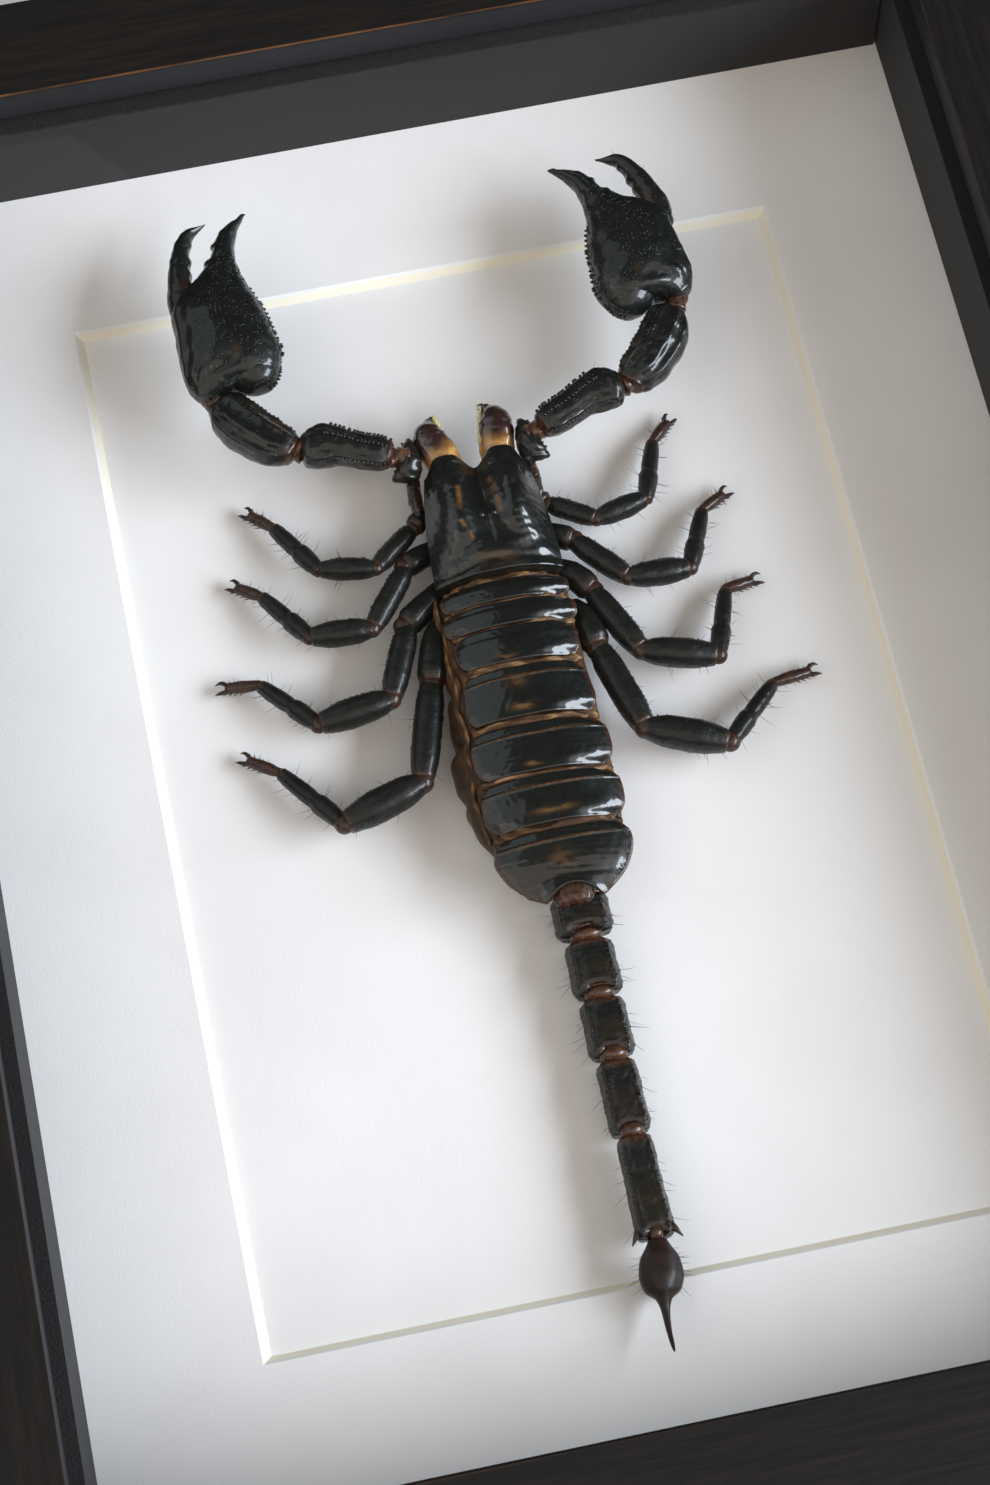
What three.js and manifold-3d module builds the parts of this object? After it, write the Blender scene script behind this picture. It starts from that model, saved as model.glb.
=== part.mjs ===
// A dried forest scorpion in a glazed box frame, lying on the frame's back: millimetres, +Z up.
// +Y is towards the scorpion's head. The origin is on the table under the middle of the frame.
import * as THREE from "three";
import { mergeVertices } from "three/addons/utils/BufferGeometryUtils.js";
import Module from "manifold-3d";

// Case
const FRAME_WIDTH = 178;
const FRAME_LENGTH = 228;
const RAIL_FACE = 15;
const LIP_REACH = 3.5;
const LIP_THICKNESS = 5.2;
const BACK_RECESS = 2.2;
const PANEL_THICKNESS = 3;
const BACKING_THICKNESS = 2.2;
const MAT_THICKNESS = 1.2;
const SPACER_HEIGHT = 16.2;
const SPACER_THICKNESS = 5;
const GLASS_THICKNESS = 2;
const WINDOW_WIDTH = 100;
const WINDOW_LENGTH = 150;
const WINDOW_DROP = 1.2;
const SHEET_PLAY = 0.2;
const JOINT_GAP = 0.3;

// Scorpion: its middle line, and heights above the backing board
const BODY_X = 0.2;
const TAIL_X = 0.7;
const CARAPACE_REAR = 20.7;
const CARAPACE_NOTCH = 37.6;
const CARAPACE_HALF_WIDTH = 8.7;
const CARAPACE_FRONT_TAPER = 1.7;
const CARAPACE_UNDERSIDE = 0.6;
const CARAPACE_EDGE_HEIGHT = 7;
const CARAPACE_CROWN = 3.9;
const GROOVE_DEPTH = 1.1;
const GROOVE_HALF_WIDTH = 1.1;
const BELLY_HEIGHT = 4.5;
const PLATE_THICKNESS = 0.9;
const JAW_HEIGHT = 7.6;
const ARM_HEIGHT = 9.2;
const SHOULDER_HEIGHT = 7.8;
const HAND_HEIGHT = 10.3;

// Levels from the table up
const PANEL_TOP = BACK_RECESS + PANEL_THICKNESS;
const BOARD_TOP = PANEL_TOP + BACKING_THICKNESS;
const MAT_TOP = BOARD_TOP + MAT_THICKNESS;
const GLASS_BOTTOM = MAT_TOP + SPACER_HEIGHT;
const LIP_BOTTOM = GLASS_BOTTOM + GLASS_THICKNESS;
const FRAME_TOP = LIP_BOTTOM + LIP_THICKNESS;
const WALL = RAIL_FACE - LIP_REACH;
const SHEET_WIDTH = FRAME_WIDTH - 2 * (WALL + SHEET_PLAY);
const SHEET_LENGTH = FRAME_LENGTH - 2 * (WALL + SHEET_PLAY);

const finish = (color, roughness, metalness = 0) =>
  new THREE.MeshStandardMaterial({ color, roughness, metalness });
const blackWood = finish(0x17130f, 0.55);
const blackFoam = finish(0x1b1b1c, 0.9);
const whiteCard = finish(0xeeedec, 0.85);
const hardboard = finish(0x6e4a2c, 0.8);
const clearGlass = finish(0xf4f8f7, 0.03);
const steel = finish(0xb9bbbd, 0.35, 1);
const chitin = finish(0x141c1b, 0.28);
const brownSkin = finish(0x7a4a22, 0.55);
const amberChitin = finish(0x6b3a16, 0.35);
const redChitin = finish(0x2a120c, 0.35);

const specimen = new THREE.Group();
const scorpion = new THREE.Group();
scorpion.position.set(BODY_X, 0, BOARD_TOP);
specimen.add(scorpion);

function addPiece(parent, name, geometry, material) {
  const mesh = new THREE.Mesh(geometry, material);
  mesh.name = name;
  parent.add(mesh);
  return mesh;
}

// Moves every vertex of a geometry by one rule.
function reshape(geometry, rule) {
  const position = geometry.getAttribute("position");
  const point = new THREE.Vector3();
  for (let i = 0; i < position.count; i += 1) {
    point.fromBufferAttribute(position, i);
    rule(point, i);
    position.setXYZ(i, point.x, point.y, point.z);
  }
  return geometry;
}

// Joins and cuts
const wasm = await Module();
wasm.setup();

function toSolid(geometry) {
  const bare = geometry.clone();
  bare.deleteAttribute("normal");
  bare.deleteAttribute("uv");
  const merged = mergeVertices(bare, 1e-4);
  return new wasm.Manifold(
    new wasm.Mesh({
      numProp: 3,
      vertProperties: merged.getAttribute("position").array,
      triVerts: new Uint32Array(merged.index.array),
    }),
  );
}

function toGeometry(solid) {
  const largest = solid.decompose().sort((a, b) => b.volume() - a.volume())[0];
  const mesh = largest.getMesh();
  const geometry = new THREE.BufferGeometry();
  geometry.setAttribute("position", new THREE.BufferAttribute(mesh.vertProperties, 3));
  geometry.setIndex(new THREE.BufferAttribute(mesh.triVerts, 1));
  return geometry;
}

const joined = (solids) => solids.reduce((whole, next) => whole.add(next));
const carved = (solid, neighbours) => neighbours.reduce((left, next) => left.subtract(next), solid);

// Frame rails: an L section with a lip over the glass, its ends mitred.
function railGeometry(length) {
  const section = new THREE.Shape([
    new THREE.Vector2(0, 0),
    new THREE.Vector2(WALL, 0),
    new THREE.Vector2(WALL, LIP_BOTTOM),
    new THREE.Vector2(RAIL_FACE, LIP_BOTTOM),
    new THREE.Vector2(RAIL_FACE, FRAME_TOP),
    new THREE.Vector2(0, FRAME_TOP),
  ]);
  const rail = new THREE.ExtrudeGeometry(section, { depth: length, bevelEnabled: false });
  rail.translate(0, 0, -length / 2);
  reshape(rail, (p) => {
    p.z -= Math.sign(p.z) * (p.x + JOINT_GAP / 2);
  });
  return rail.rotateX(Math.PI / 2);
}

const rails = [
  ["left", FRAME_LENGTH, -FRAME_WIDTH / 2, 0, 0],
  ["bottom", FRAME_WIDTH, 0, -FRAME_LENGTH / 2, Math.PI / 2],
  ["right", FRAME_LENGTH, FRAME_WIDTH / 2, 0, Math.PI],
  ["top", FRAME_WIDTH, 0, FRAME_LENGTH / 2, -Math.PI / 2],
];
for (const [side, length, x, y, turn] of rails) {
  const rail = addPiece(specimen, `frame_rail_${side}`, railGeometry(length), blackWood);
  rail.position.set(x, y, 0);
  rail.rotation.z = turn;
}

// Sheets stacked in the rebate: back panel, backing board, mat and glass.
function addSheet(name, bottom, thickness, material) {
  const sheet = new THREE.BoxGeometry(SHEET_WIDTH, SHEET_LENGTH, thickness);
  addPiece(specimen, name, sheet.translate(0, 0, bottom + thickness / 2), material);
}
addSheet("back_panel", BACK_RECESS, PANEL_THICKNESS, hardboard);
addSheet("backing_board", PANEL_TOP, BACKING_THICKNESS, whiteCard);
addSheet("glass_pane", GLASS_BOTTOM, GLASS_THICKNESS, clearGlass);

// A rectangle with its corners in order, as an outline.
function rectangle(PathClass, width, length, middleY) {
  const outline = new PathClass();
  outline.moveTo(-width / 2, middleY - length / 2);
  outline.lineTo(width / 2, middleY - length / 2);
  outline.lineTo(width / 2, middleY + length / 2);
  outline.lineTo(-width / 2, middleY + length / 2);
  outline.closePath();
  return outline;
}

// Mat: the window's edge is cut at 45 degrees and opens towards the glass.
const matOutline = rectangle(THREE.Shape, SHEET_WIDTH, SHEET_LENGTH, 0);
const footWidth = WINDOW_WIDTH - 2 * MAT_THICKNESS;
const footLength = WINDOW_LENGTH - 2 * MAT_THICKNESS;
matOutline.holes.push(rectangle(THREE.Path, footWidth, footLength, -WINDOW_DROP));
const matGeometry = new THREE.ExtrudeGeometry(matOutline, { depth: MAT_THICKNESS, bevelEnabled: false });
reshape(matGeometry, (p) => {
  const onWindow = Math.abs(p.x) < WINDOW_WIDTH / 2;
  if (onWindow && p.z > MAT_THICKNESS / 2) {
    p.x += Math.sign(p.x) * MAT_THICKNESS;
    p.y += Math.sign(p.y) * MAT_THICKNESS;
  }
});
addPiece(specimen, "mat_board", matGeometry.translate(0, 0, BOARD_TOP), whiteCard);

// Spacers: strips on edge between the mat and the glass, the long pair running the full length.
const longSpacer = [SPACER_THICKNESS, SHEET_LENGTH];
const shortSpacer = [SHEET_WIDTH - 2 * (SPACER_THICKNESS + JOINT_GAP), SPACER_THICKNESS];
const spacers = [
  ["left", longSpacer, -1, 0],
  ["right", longSpacer, 1, 0],
  ["bottom", shortSpacer, 0, -1],
  ["top", shortSpacer, 0, 1],
];
for (const [side, [width, length], towardsX, towardsY] of spacers) {
  const strip = new THREE.BoxGeometry(width, length, SPACER_HEIGHT);
  strip.translate(
    (towardsX * (SHEET_WIDTH - width)) / 2,
    (towardsY * (SHEET_LENGTH - length)) / 2,
    MAT_TOP + SPACER_HEIGHT / 2,
  );
  addPiece(specimen, `spacer_${side}`, strip, blackFoam);
}

// Back fittings: tabs driven into the rails over the back panel, and a notched hanger.
const TAB_LENGTH = 12;
const TAB_WIDTH = 7;
const PLATE_STEEL = 0.7;
const FITTING_BOTTOM = BACK_RECESS - JOINT_GAP - PLATE_STEEL;
const tabOutline = new THREE.Shape();
tabOutline.moveTo(0, -TAB_WIDTH / 2);
tabOutline.lineTo(TAB_LENGTH - TAB_WIDTH / 2, -TAB_WIDTH / 2);
tabOutline.absarc(TAB_LENGTH - TAB_WIDTH / 2, 0, TAB_WIDTH / 2, -Math.PI / 2, Math.PI / 2, false);
tabOutline.lineTo(0, TAB_WIDTH / 2);
const steelPlate = { depth: PLATE_STEEL, bevelEnabled: false, curveSegments: 6 };
const tabReachX = FRAME_WIDTH / 2 - WALL - JOINT_GAP;
const tabReachY = FRAME_LENGTH / 2 - WALL - JOINT_GAP;
const TAB_SPREAD = 50;
const tabs = [
  ["left_lower", -tabReachX, -TAB_SPREAD, 0],
  ["left_upper", -tabReachX, TAB_SPREAD, 0],
  ["right_lower", tabReachX, -TAB_SPREAD, Math.PI],
  ["right_upper", tabReachX, TAB_SPREAD, Math.PI],
  ["bottom", 0, -tabReachY, Math.PI / 2],
  ["top", 0, tabReachY, -Math.PI / 2],
];
for (const [place, x, y, turn] of tabs) {
  const bent = new THREE.ExtrudeGeometry(tabOutline, steelPlate);
  const tab = addPiece(specimen, `back_tab_${place}`, bent, steel);
  tab.position.set(x, y, FITTING_BOTTOM);
  tab.rotation.z = turn;
}

const HANGER_WIDTH = 42;
const HANGER_LENGTH = 8;
const HANGER_TEETH = 9;
const TOOTHED_SHARE = 0.6;
const TOOTH_DEPTH = 1.6;
const HANGER_Y = 78;
const hangerOutline = new THREE.Shape();
hangerOutline.moveTo(-HANGER_WIDTH / 2, HANGER_LENGTH);
hangerOutline.lineTo(-HANGER_WIDTH / 2, 0);
for (let tooth = 0; tooth <= 2 * HANGER_TEETH; tooth += 1) {
  const x = (HANGER_WIDTH * TOOTHED_SHARE * (tooth - HANGER_TEETH)) / (2 * HANGER_TEETH);
  hangerOutline.lineTo(x, tooth % 2 ? TOOTH_DEPTH : 0);
}
hangerOutline.lineTo(HANGER_WIDTH / 2, 0);
hangerOutline.lineTo(HANGER_WIDTH / 2, HANGER_LENGTH);
const hanger = new THREE.ExtrudeGeometry(hangerOutline, steelPlate);
addPiece(specimen, "hanger_plate", hanger.translate(0, HANGER_Y, FITTING_BOTTOM), steel);

// Body parts are drawn out of a sphere: each row of it becomes a ring around a centre line.
// A ring holds its place along the line, then its reach to the left, right, up and down of it.
const UP = new THREE.Vector3(0, 0, 1);

function drawnOut({ line, rings, sides = 10, squareness = 2.3 }, grow = 0) {
  const curve = new THREE.CatmullRomCurve3(line, false, "centripetal");
  const lastRow = rings.length + 1;
  const sphere = new THREE.SphereGeometry(1, sides, lastRow);
  return reshape(sphere, (p, index) => {
    const row = Math.floor(index / (sides + 1));
    const angle = (2 * Math.PI * (index % (sides + 1) % sides)) / sides;
    const nearest = THREE.MathUtils.clamp(row - 1, 0, rings.length - 1);
    const [place, left, right, up, down] = rings[nearest];
    const along = row === 0 ? 0 : row === lastRow ? 1 : place;
    const atPole = row === 0 || row === lastRow;
    const ahead = curve.getTangentAt(along);
    const side = new THREE.Vector3().crossVectors(ahead, UP).normalize();
    const above = new THREE.Vector3().crossVectors(side, ahead);
    const round = (value) => Math.sign(value) * Math.abs(value) ** (2 / squareness);
    const across = atPole ? 0 : round(Math.cos(angle)) * ((left + right) / 2 + grow);
    const high = atPole ? 0 : round(Math.sin(angle)) * ((up + down) / 2 + grow);
    p.copy(curve.getPointAt(along));
    p.addScaledVector(side, (right - left) / 2 + across);
    p.addScaledVector(above, (up - down) / 2 + high);
    if (atPole) p.addScaledVector(ahead, row === 0 ? -grow : grow);
  });
}

const grown = (part) => toSolid(drawnOut(part, JOINT_GAP));
const spot = ([x, y], height) => new THREE.Vector3(x - BODY_X, y, height);

// Carapace: a shield with two lobes in front, a groove down its middle and steep sides.
function carapaceGeometry(grow = 0) {
  const shield = new THREE.BoxGeometry(2, 1, 1, 14, 10, 2);
  return reshape(shield, (p) => {
    const across = p.x;
    const along = p.y + 0.5;
    const high = p.z + 0.5;
    const frontEdge = CARAPACE_NOTCH + 8.8 * Math.abs(across) - 9.9 * across ** 2;
    const halfWidth = CARAPACE_HALF_WIDTH - CARAPACE_FRONT_TAPER * along ** 2.2;
    const undercut = 1 - high;
    const x = across * (halfWidth + grow) * (1 - 0.2 * undercut);
    const crown = CARAPACE_CROWN * (1 - Math.abs(across) ** 2.6) * (1 - 0.4 * along ** 3);
    const valley = Math.exp(-((x / GROOVE_HALF_WIDTH) ** 2));
    const groove = GROOVE_DEPTH * valley * THREE.MathUtils.smoothstep(along, 0.2, 0.9);
    const top = CARAPACE_EDGE_HEIGHT + crown - groove + grow;
    const bottom = CARAPACE_UNDERSIDE - grow / 2;
    p.x = x;
    p.y = THREE.MathUtils.lerp(CARAPACE_REAR - grow, frontEdge + grow - 1.5 * undercut, along);
    p.z = THREE.MathUtils.lerp(bottom, top, high);
  });
}
addPiece(scorpion, "carapace", carapaceGeometry(), chitin);

// Abdomen: the soft body, slumped towards -X, where its side skin bulges past the back plates.
// Rows: place along Y, reach to +X and -X of the middle line, reach above and below the widest level.
const ABDOMEN_START = CARAPACE_REAR - JOINT_GAP;
const ABDOMEN_END = -24.6;
const ABDOMEN_SQUARENESS = 2.3;
const girths = [
  [20, 6.8, 6.8, 3.2, 3.4],
  [18.4, 8.6, 8.8, 4.1, 4.3],
  [14, 8.8, 9.2, 4.4, 4.4],
  [8, 8.7, 10.2, 4.5, 4.4],
  [0, 8.9, 11, 4.5, 4.4],
  [-4.5, 9.1, 11.9, 4.5, 4.4],
  [-9, 9.3, 11.7, 4.4, 4.4],
  [-13, 9.2, 10.8, 4.2, 4.3],
  [-17, 8.9, 9.6, 4, 4.2],
  [-21, 7.4, 8.2, 3.6, 4],
  [-23.6, 5.4, 6, 3, 3.4],
];
const ABDOMEN_LENGTH = ABDOMEN_START - ABDOMEN_END;
const abdomen = {
  line: [spot([BODY_X, ABDOMEN_START], BELLY_HEIGHT), spot([BODY_X, ABDOMEN_END], BELLY_HEIGHT)],
  rings: girths.map(([y, ...reaches]) => [(ABDOMEN_START - y) / ABDOMEN_LENGTH, ...reaches]),
  sides: 16,
  squareness: ABDOMEN_SQUARENESS,
};
addPiece(scorpion, "abdomen", drawnOut(abdomen), brownSkin);

// Height of the abdomen's upper side, between the girths measured along it.
function abdomenTop(x, y) {
  const found = girths.findIndex((girth) => girth[0] <= y);
  const after = found < 0 ? girths.length - 1 : Math.max(found, 1);
  const [from, to] = [girths[after - 1], girths[after]];
  const share = THREE.MathUtils.clamp((from[0] - y) / (from[0] - to[0]), 0, 1);
  const between = from.map((value, index) => THREE.MathUtils.lerp(value, to[index], share));
  const [, plusX, minusX, rise] = between;
  const outward = Math.abs(x - (plusX - minusX) / 2) / ((plusX + minusX) / 2);
  const slope = 1 - Math.min(outward, 0.97) ** ABDOMEN_SQUARENESS;
  return BELLY_HEIGHT + rise * slope ** (1 / ABDOMEN_SQUARENESS);
}

// Back plates: thin shields over the abdomen, with soft skin showing between them.
// Rows: front and rear edge along Y, half width at the front, middle and rear, scoop of the rear edge.
const plates = [
  [19.1, 16.5, 8.5, 8.5, 8.4, 0],
  [15.6, 12.7, 8.7, 8.8, 8.7, 0],
  [11.9, 7.3, 8.2, 8.1, 7.8, 0],
  [6, -0.8, 7.9, 8.3, 8.7, 0],
  [-2.4, -8.7, 8.6, 9, 8.8, 0],
  [-9.8, -16, 8.8, 9.1, 8.7, 0],
  [-17.4, -26.2, 8.5, 8.2, 4.3, 1.8],
];
plates.forEach(([front, rear, frontHalf, middleHalf, rearHalf, scoop], index) => {
  const plate = new THREE.BoxGeometry(2, 1, 1, 12, 3, 1);
  reshape(plate, (p) => {
    const along = 0.5 - p.y;
    const bow = 4 * along * (1 - along);
    const straight = THREE.MathUtils.lerp(frontHalf, rearHalf, along);
    const x = p.x * (straight + bow * (middleHalf - (frontHalf + rearHalf) / 2));
    const y = THREE.MathUtils.lerp(front, rear + scoop * (1 - p.x ** 2), along);
    const under = abdomenTop(x, y) + JOINT_GAP;
    const thickness = PLATE_THICKNESS * (1 - 0.4 * p.x ** 4);
    p.set(x, y, p.z > 0 ? under + thickness : under);
  });
  addPiece(scorpion, `back_plate_${index + 1}`, plate, chitin);
});

// Tail: five squarish segments, each with a narrow neck that enters the one before.
// Rows: neck end, shoulder and rear end along Y, half width at the shoulder and at the rear,
// half height and middle height.
const tailSegments = [
  [-24.9, -25.8, -30.5, 3.75, 3.75, 2.8, 4.3],
  [-30.8, -31.8, -38.4, 3.15, 3.25, 2.65, 3.4],
  [-38.7, -39.7, -46.8, 2.9, 2.95, 2.5, 3],
  [-47.1, -48.2, -57.2, 2.6, 2.6, 2.4, 3.1],
  [-57.5, -58.4, -71.2, 2.25, 2.45, 2.2, 3.7],
];
const TAIL_SQUARENESS = 3;
const SPUR_LENGTH = 2.2;
tailSegments.forEach(([neck, shoulder, rear, shoulderHalf, rearHalf, high, level], index) => {
  const length = neck - rear;
  const place = (y) => (neck - y) / length;
  const ring = (y, half, tall) => [place(y), half, half, tall, tall];
  const segment = {
    line: [spot([TAIL_X, neck], level), spot([TAIL_X, rear], level)],
    rings: [
      ring(neck - 0.1, shoulderHalf * 0.6, high * 0.6),
      ring(shoulder + 0.2, shoulderHalf * 0.7, high * 0.72),
      ring(shoulder, shoulderHalf, high * 0.92),
      ring((shoulder + rear) / 2, (shoulderHalf + rearHalf) * 0.485, high),
      ring(rear + 0.8, rearHalf, high * 1.04),
      ring(rear + 0.05, rearHalf * 0.9, high * 0.94),
    ],
    squareness: TAIL_SQUARENESS,
  };
  const solids = [toSolid(drawnOut(segment))];
  if (index === tailSegments.length - 1) {
    for (const side of [-1, 1]) {
      const root = spot([TAIL_X + side * (rearHalf - 0.8), rear + 1.6], level + 0.8);
      const tip = spot([TAIL_X + side * (rearHalf + 0.8), rear - SPUR_LENGTH / 3], level + 0.8);
      const spur = { line: [root, tip], rings: [[0.1, 0.5, 0.5, 0.5, 0.5]], sides: 5 };
      solids.push(toSolid(drawnOut(spur)));
    }
  }
  addPiece(scorpion, `tail_segment_${index + 1}`, toGeometry(joined(solids)), chitin);
});

// Stinger: a bulb that runs out into a curved sting.
const stinger = {
  line: [
    spot([TAIL_X, -71.5], 4.4),
    spot([0.2, -76], 4.4),
    spot([-0.2, -79.5], 4.4),
    spot([-0.5, -83.1], 5),
    spot([-0.6, -86.3], 6.8),
  ],
  rings: [
    [0.02, 1.2, 1.2, 1.2, 1.2],
    [0.08, 1.7, 1.7, 1.6, 1.7],
    [0.17, 2.5, 2.5, 2.1, 2.4],
    [0.3, 2.7, 2.7, 2.2, 2.7],
    [0.42, 2.1, 2.1, 1.8, 2.3],
    [0.5, 1.1, 1.1, 1.1, 1.3],
    [0.6, 0.55, 0.55, 0.6, 0.7],
    [0.8, 0.32, 0.32, 0.35, 0.35],
  ],
  sides: 9,
};
addPiece(scorpion, "stinger", drawnOut(stinger), redChitin);

// Jaws: two stout blocks side by side under the front of the carapace, each with two hooked fingers.
const jaws = [
  ["left", [-3.4, 40.9], [-4.9, 46.4], 1],
  ["right", [3.9, 41], [3.7, 47], -1],
];
for (const [side, root, tip, inward] of jaws) {
  const [rootX, rootY] = root;
  const [tipX, tipY] = tip;
  const bulge = [(rootX + tipX) / 2 - inward * 0.4, (rootY + tipY) / 2];
  const block = {
    line: [root, bulge, tip].map((point) => spot(point, JAW_HEIGHT)),
    rings: [
      [0.04, 1.7, 1.7, 1.5, 2],
      [0.25, 2.2, 2.2, 1.9, 2.3],
      [0.55, 2.3, 2.3, 1.9, 2.3],
      [0.82, 1.7, 1.7, 1.5, 1.9],
    ],
    sides: 9,
  };
  const hook = (reach, drop) => ({
    line: [
      spot([tipX - inward * reach, tipY - 1.6], JAW_HEIGHT - drop),
      spot([tipX + inward * (0.2 - reach * 0.5), tipY + 0.4], JAW_HEIGHT - drop),
      spot([tipX + inward * (1.4 - reach * 0.3), tipY + 0.7], JAW_HEIGHT - drop),
    ],
    rings: [
      [0.1, 0.7, 0.7, 0.7, 0.7],
      [0.55, 0.5, 0.5, 0.5, 0.5],
    ],
    sides: 6,
  });
  const solids = [block, hook(0.9, 0.1), hook(-0.5, 1)].map((part) => toSolid(drawnOut(part)));
  addPiece(scorpion, `jaw_${side}`, toGeometry(joined(solids)), amberChitin);
}

// Pincer arms: the same five pieces on both sides, each arm with its own pose.
// Ring tables are for the left arm: the right arm swaps left and right.
const shoulderRings = [
  [0.08, 2.2, 2, 1.8, 1.8],
  [0.5, 3, 2.6, 2.3, 2.3],
  [0.92, 2.6, 2.2, 2, 2],
];
const upperArmRings = [
  [0.03, 2, 2, 1.7, 1.7],
  [0.16, 2.7, 2.7, 2.2, 2.2],
  [0.42, 3, 3, 2.4, 2.4],
  [0.7, 3.1, 3.4, 2.5, 2.5],
  [0.86, 2.7, 2.8, 2.3, 2.3],
  [0.97, 2.1, 2, 1.8, 1.8],
];
const forearmRings = [
  [0.03, 2, 1.5, 1.6, 1.6],
  [0.14, 3.2, 2, 2.4, 2.3],
  [0.32, 4.1, 2.3, 2.9, 2.6],
  [0.55, 4.2, 2.6, 3, 2.7],
  [0.78, 3.6, 3, 2.8, 2.6],
  [0.92, 2.4, 2.6, 2.2, 2.1],
  [0.98, 1.5, 1.6, 1.5, 1.5],
];
const handRings = [
  [0.012, 1.3, 1.3, 1.4, 1.4],
  [0.05, 2.4, 2.8, 2.4, 2.2],
  [0.09, 3.3, 7, 3.3, 2.6],
  [0.15, 4.2, 9.3, 4.2, 3.6],
  [0.21, 4.9, 9.8, 4.5, 4],
  [0.29, 5.7, 9.1, 4.6, 4.2],
  [0.4, 6.9, 7.4, 4.4, 4.1],
  [0.5, 6.1, 5.6, 3.8, 3.6],
  [0.6, 4.7, 3, 3, 3],
  [0.68, 3.9, 1.2, 2.4, 2.4],
  [0.75, 3.4, 0.1, 2, 2],
  [0.83, 3.4, -0.6, 1.6, 1.6],
  [0.91, 2.5, -0.7, 1.2, 1.2],
  [0.97, 1.1, -0.3, 0.6, 0.6],
];
// The movable finger's middle line, as shares of the hand's length along it and millimetres across it.
const fingerWay = [
  [0.48, -5.9],
  [0.6, -7],
  [0.73, -7.7],
  [0.84, -7.4],
  [0.92, -5.3],
];
const fingerRings = [
  [0.05, 2.2, 2.2, 2.2, 2.2],
  [0.3, 1.65, 1.65, 1.9, 1.9],
  [0.55, 1.3, 1.3, 1.5, 1.5],
  [0.8, 0.85, 0.85, 1, 1],
  [0.94, 0.35, 0.35, 0.4, 0.4],
];
const LOBE_SPINES = 12;
const LOBE_START = 0.13;
const LOBE_SHARE = 0.42;
const SPINE_LENGTH = 0.5;
const SPINE_ROOT = 0.9;
const arms = [
  {
    side: "left",
    mirror: 1,
    shoulder: [-7.9, 40.2],
    upperArm: [[-10.3, 40.8], [-14.2, 42.5], [-18.4, 44.6], [-22.6, 44]],
    forearm: [[-22.9, 44], [-32.9, 53.4]],
    hand: [[-34, 53.8], [-23.3, 81.9]],
    fingerShift: 0,
    fingerReach: 1,
  },
  {
    side: "right",
    mirror: -1,
    shoulder: [8, 40.2],
    upperArm: [[9.9, 41], [14.2, 43], [18.4, 45.3], [22.5, 44.6]],
    forearm: [[22.8, 44.7], [32.4, 55]],
    hand: [[33.9, 56.4], [19.5, 80]],
    fingerShift: 0.9,
    fingerReach: 0.96,
  },
];

for (const { side, mirror, shoulder, upperArm, forearm, hand, fingerShift, fingerReach } of arms) {
  const facing = (rings) =>
    mirror > 0 ? rings : rings.map(([place, left, right, up, down]) => [place, right, left, up, down]);
  const segment = (points, height, rings, sides) => ({
    line: points.map((point) => spot(point, height)),
    rings: facing(rings),
    sides,
  });
  const shoulderPart = segment([shoulder, upperArm[0]], SHOULDER_HEIGHT, shoulderRings, 9);
  const upperArmPart = segment(upperArm, ARM_HEIGHT, upperArmRings, 10);
  const forearmPart = segment(forearm, ARM_HEIGHT, forearmRings, 10);
  const handPart = segment(hand, HAND_HEIGHT, handRings, 14);

  const [base, tip] = handPart.line;
  const reach = tip.clone().sub(base);
  const outward = new THREE.Vector3().crossVectors(reach, UP).normalize();
  const fingerLine = fingerWay.map(([share, across]) =>
    base
      .clone()
      .addScaledVector(reach, share * fingerReach)
      .addScaledVector(outward, (across - fingerShift) * mirror),
  );
  const fingerPart = { line: fingerLine, rings: fingerRings, sides: 8 };

  // A row of blunt spines along the hand's inner lobe.
  const spines = Array.from({ length: LOBE_SPINES }, (_, index) => {
    const place = LOBE_START + (LOBE_SHARE * index) / (LOBE_SPINES - 1);
    const next = handRings.findIndex((ring) => ring[0] > place);
    const [before, after] = [handRings[next - 1], handRings[next]];
    const edge = THREE.MathUtils.mapLinear(place, before[0], after[0], before[2], after[2]);
    const foot = base.clone().addScaledVector(reach, place);
    foot.addScaledVector(outward, mirror * (edge - SPINE_ROOT));
    const point = foot.clone().addScaledVector(outward, mirror * (SPINE_ROOT + SPINE_LENGTH));
    return toSolid(drawnOut({ line: [foot, point], rings: [[0.1, 0.45, 0.45, 0.45, 0.45]], sides: 4 }));
  });

  const solidHand = joined([toSolid(drawnOut(handPart)), ...spines]);
  const shoulderRoom = [toSolid(carapaceGeometry(JOINT_GAP)), grown(upperArmPart)];
  const solids = {
    shoulder: carved(toSolid(drawnOut(shoulderPart)), shoulderRoom),
    upper_arm: toSolid(drawnOut(upperArmPart)),
    forearm: carved(toSolid(drawnOut(forearmPart)), [grown(upperArmPart), grown(handPart)]),
    hand: solidHand,
    finger: carved(toSolid(drawnOut(fingerPart)), [grown(handPart)]),
  };
  for (const [piece, solid] of Object.entries(solids)) {
    addPiece(scorpion, `arm_${side}_${piece}`, toGeometry(solid), chitin);
  }
}

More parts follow.
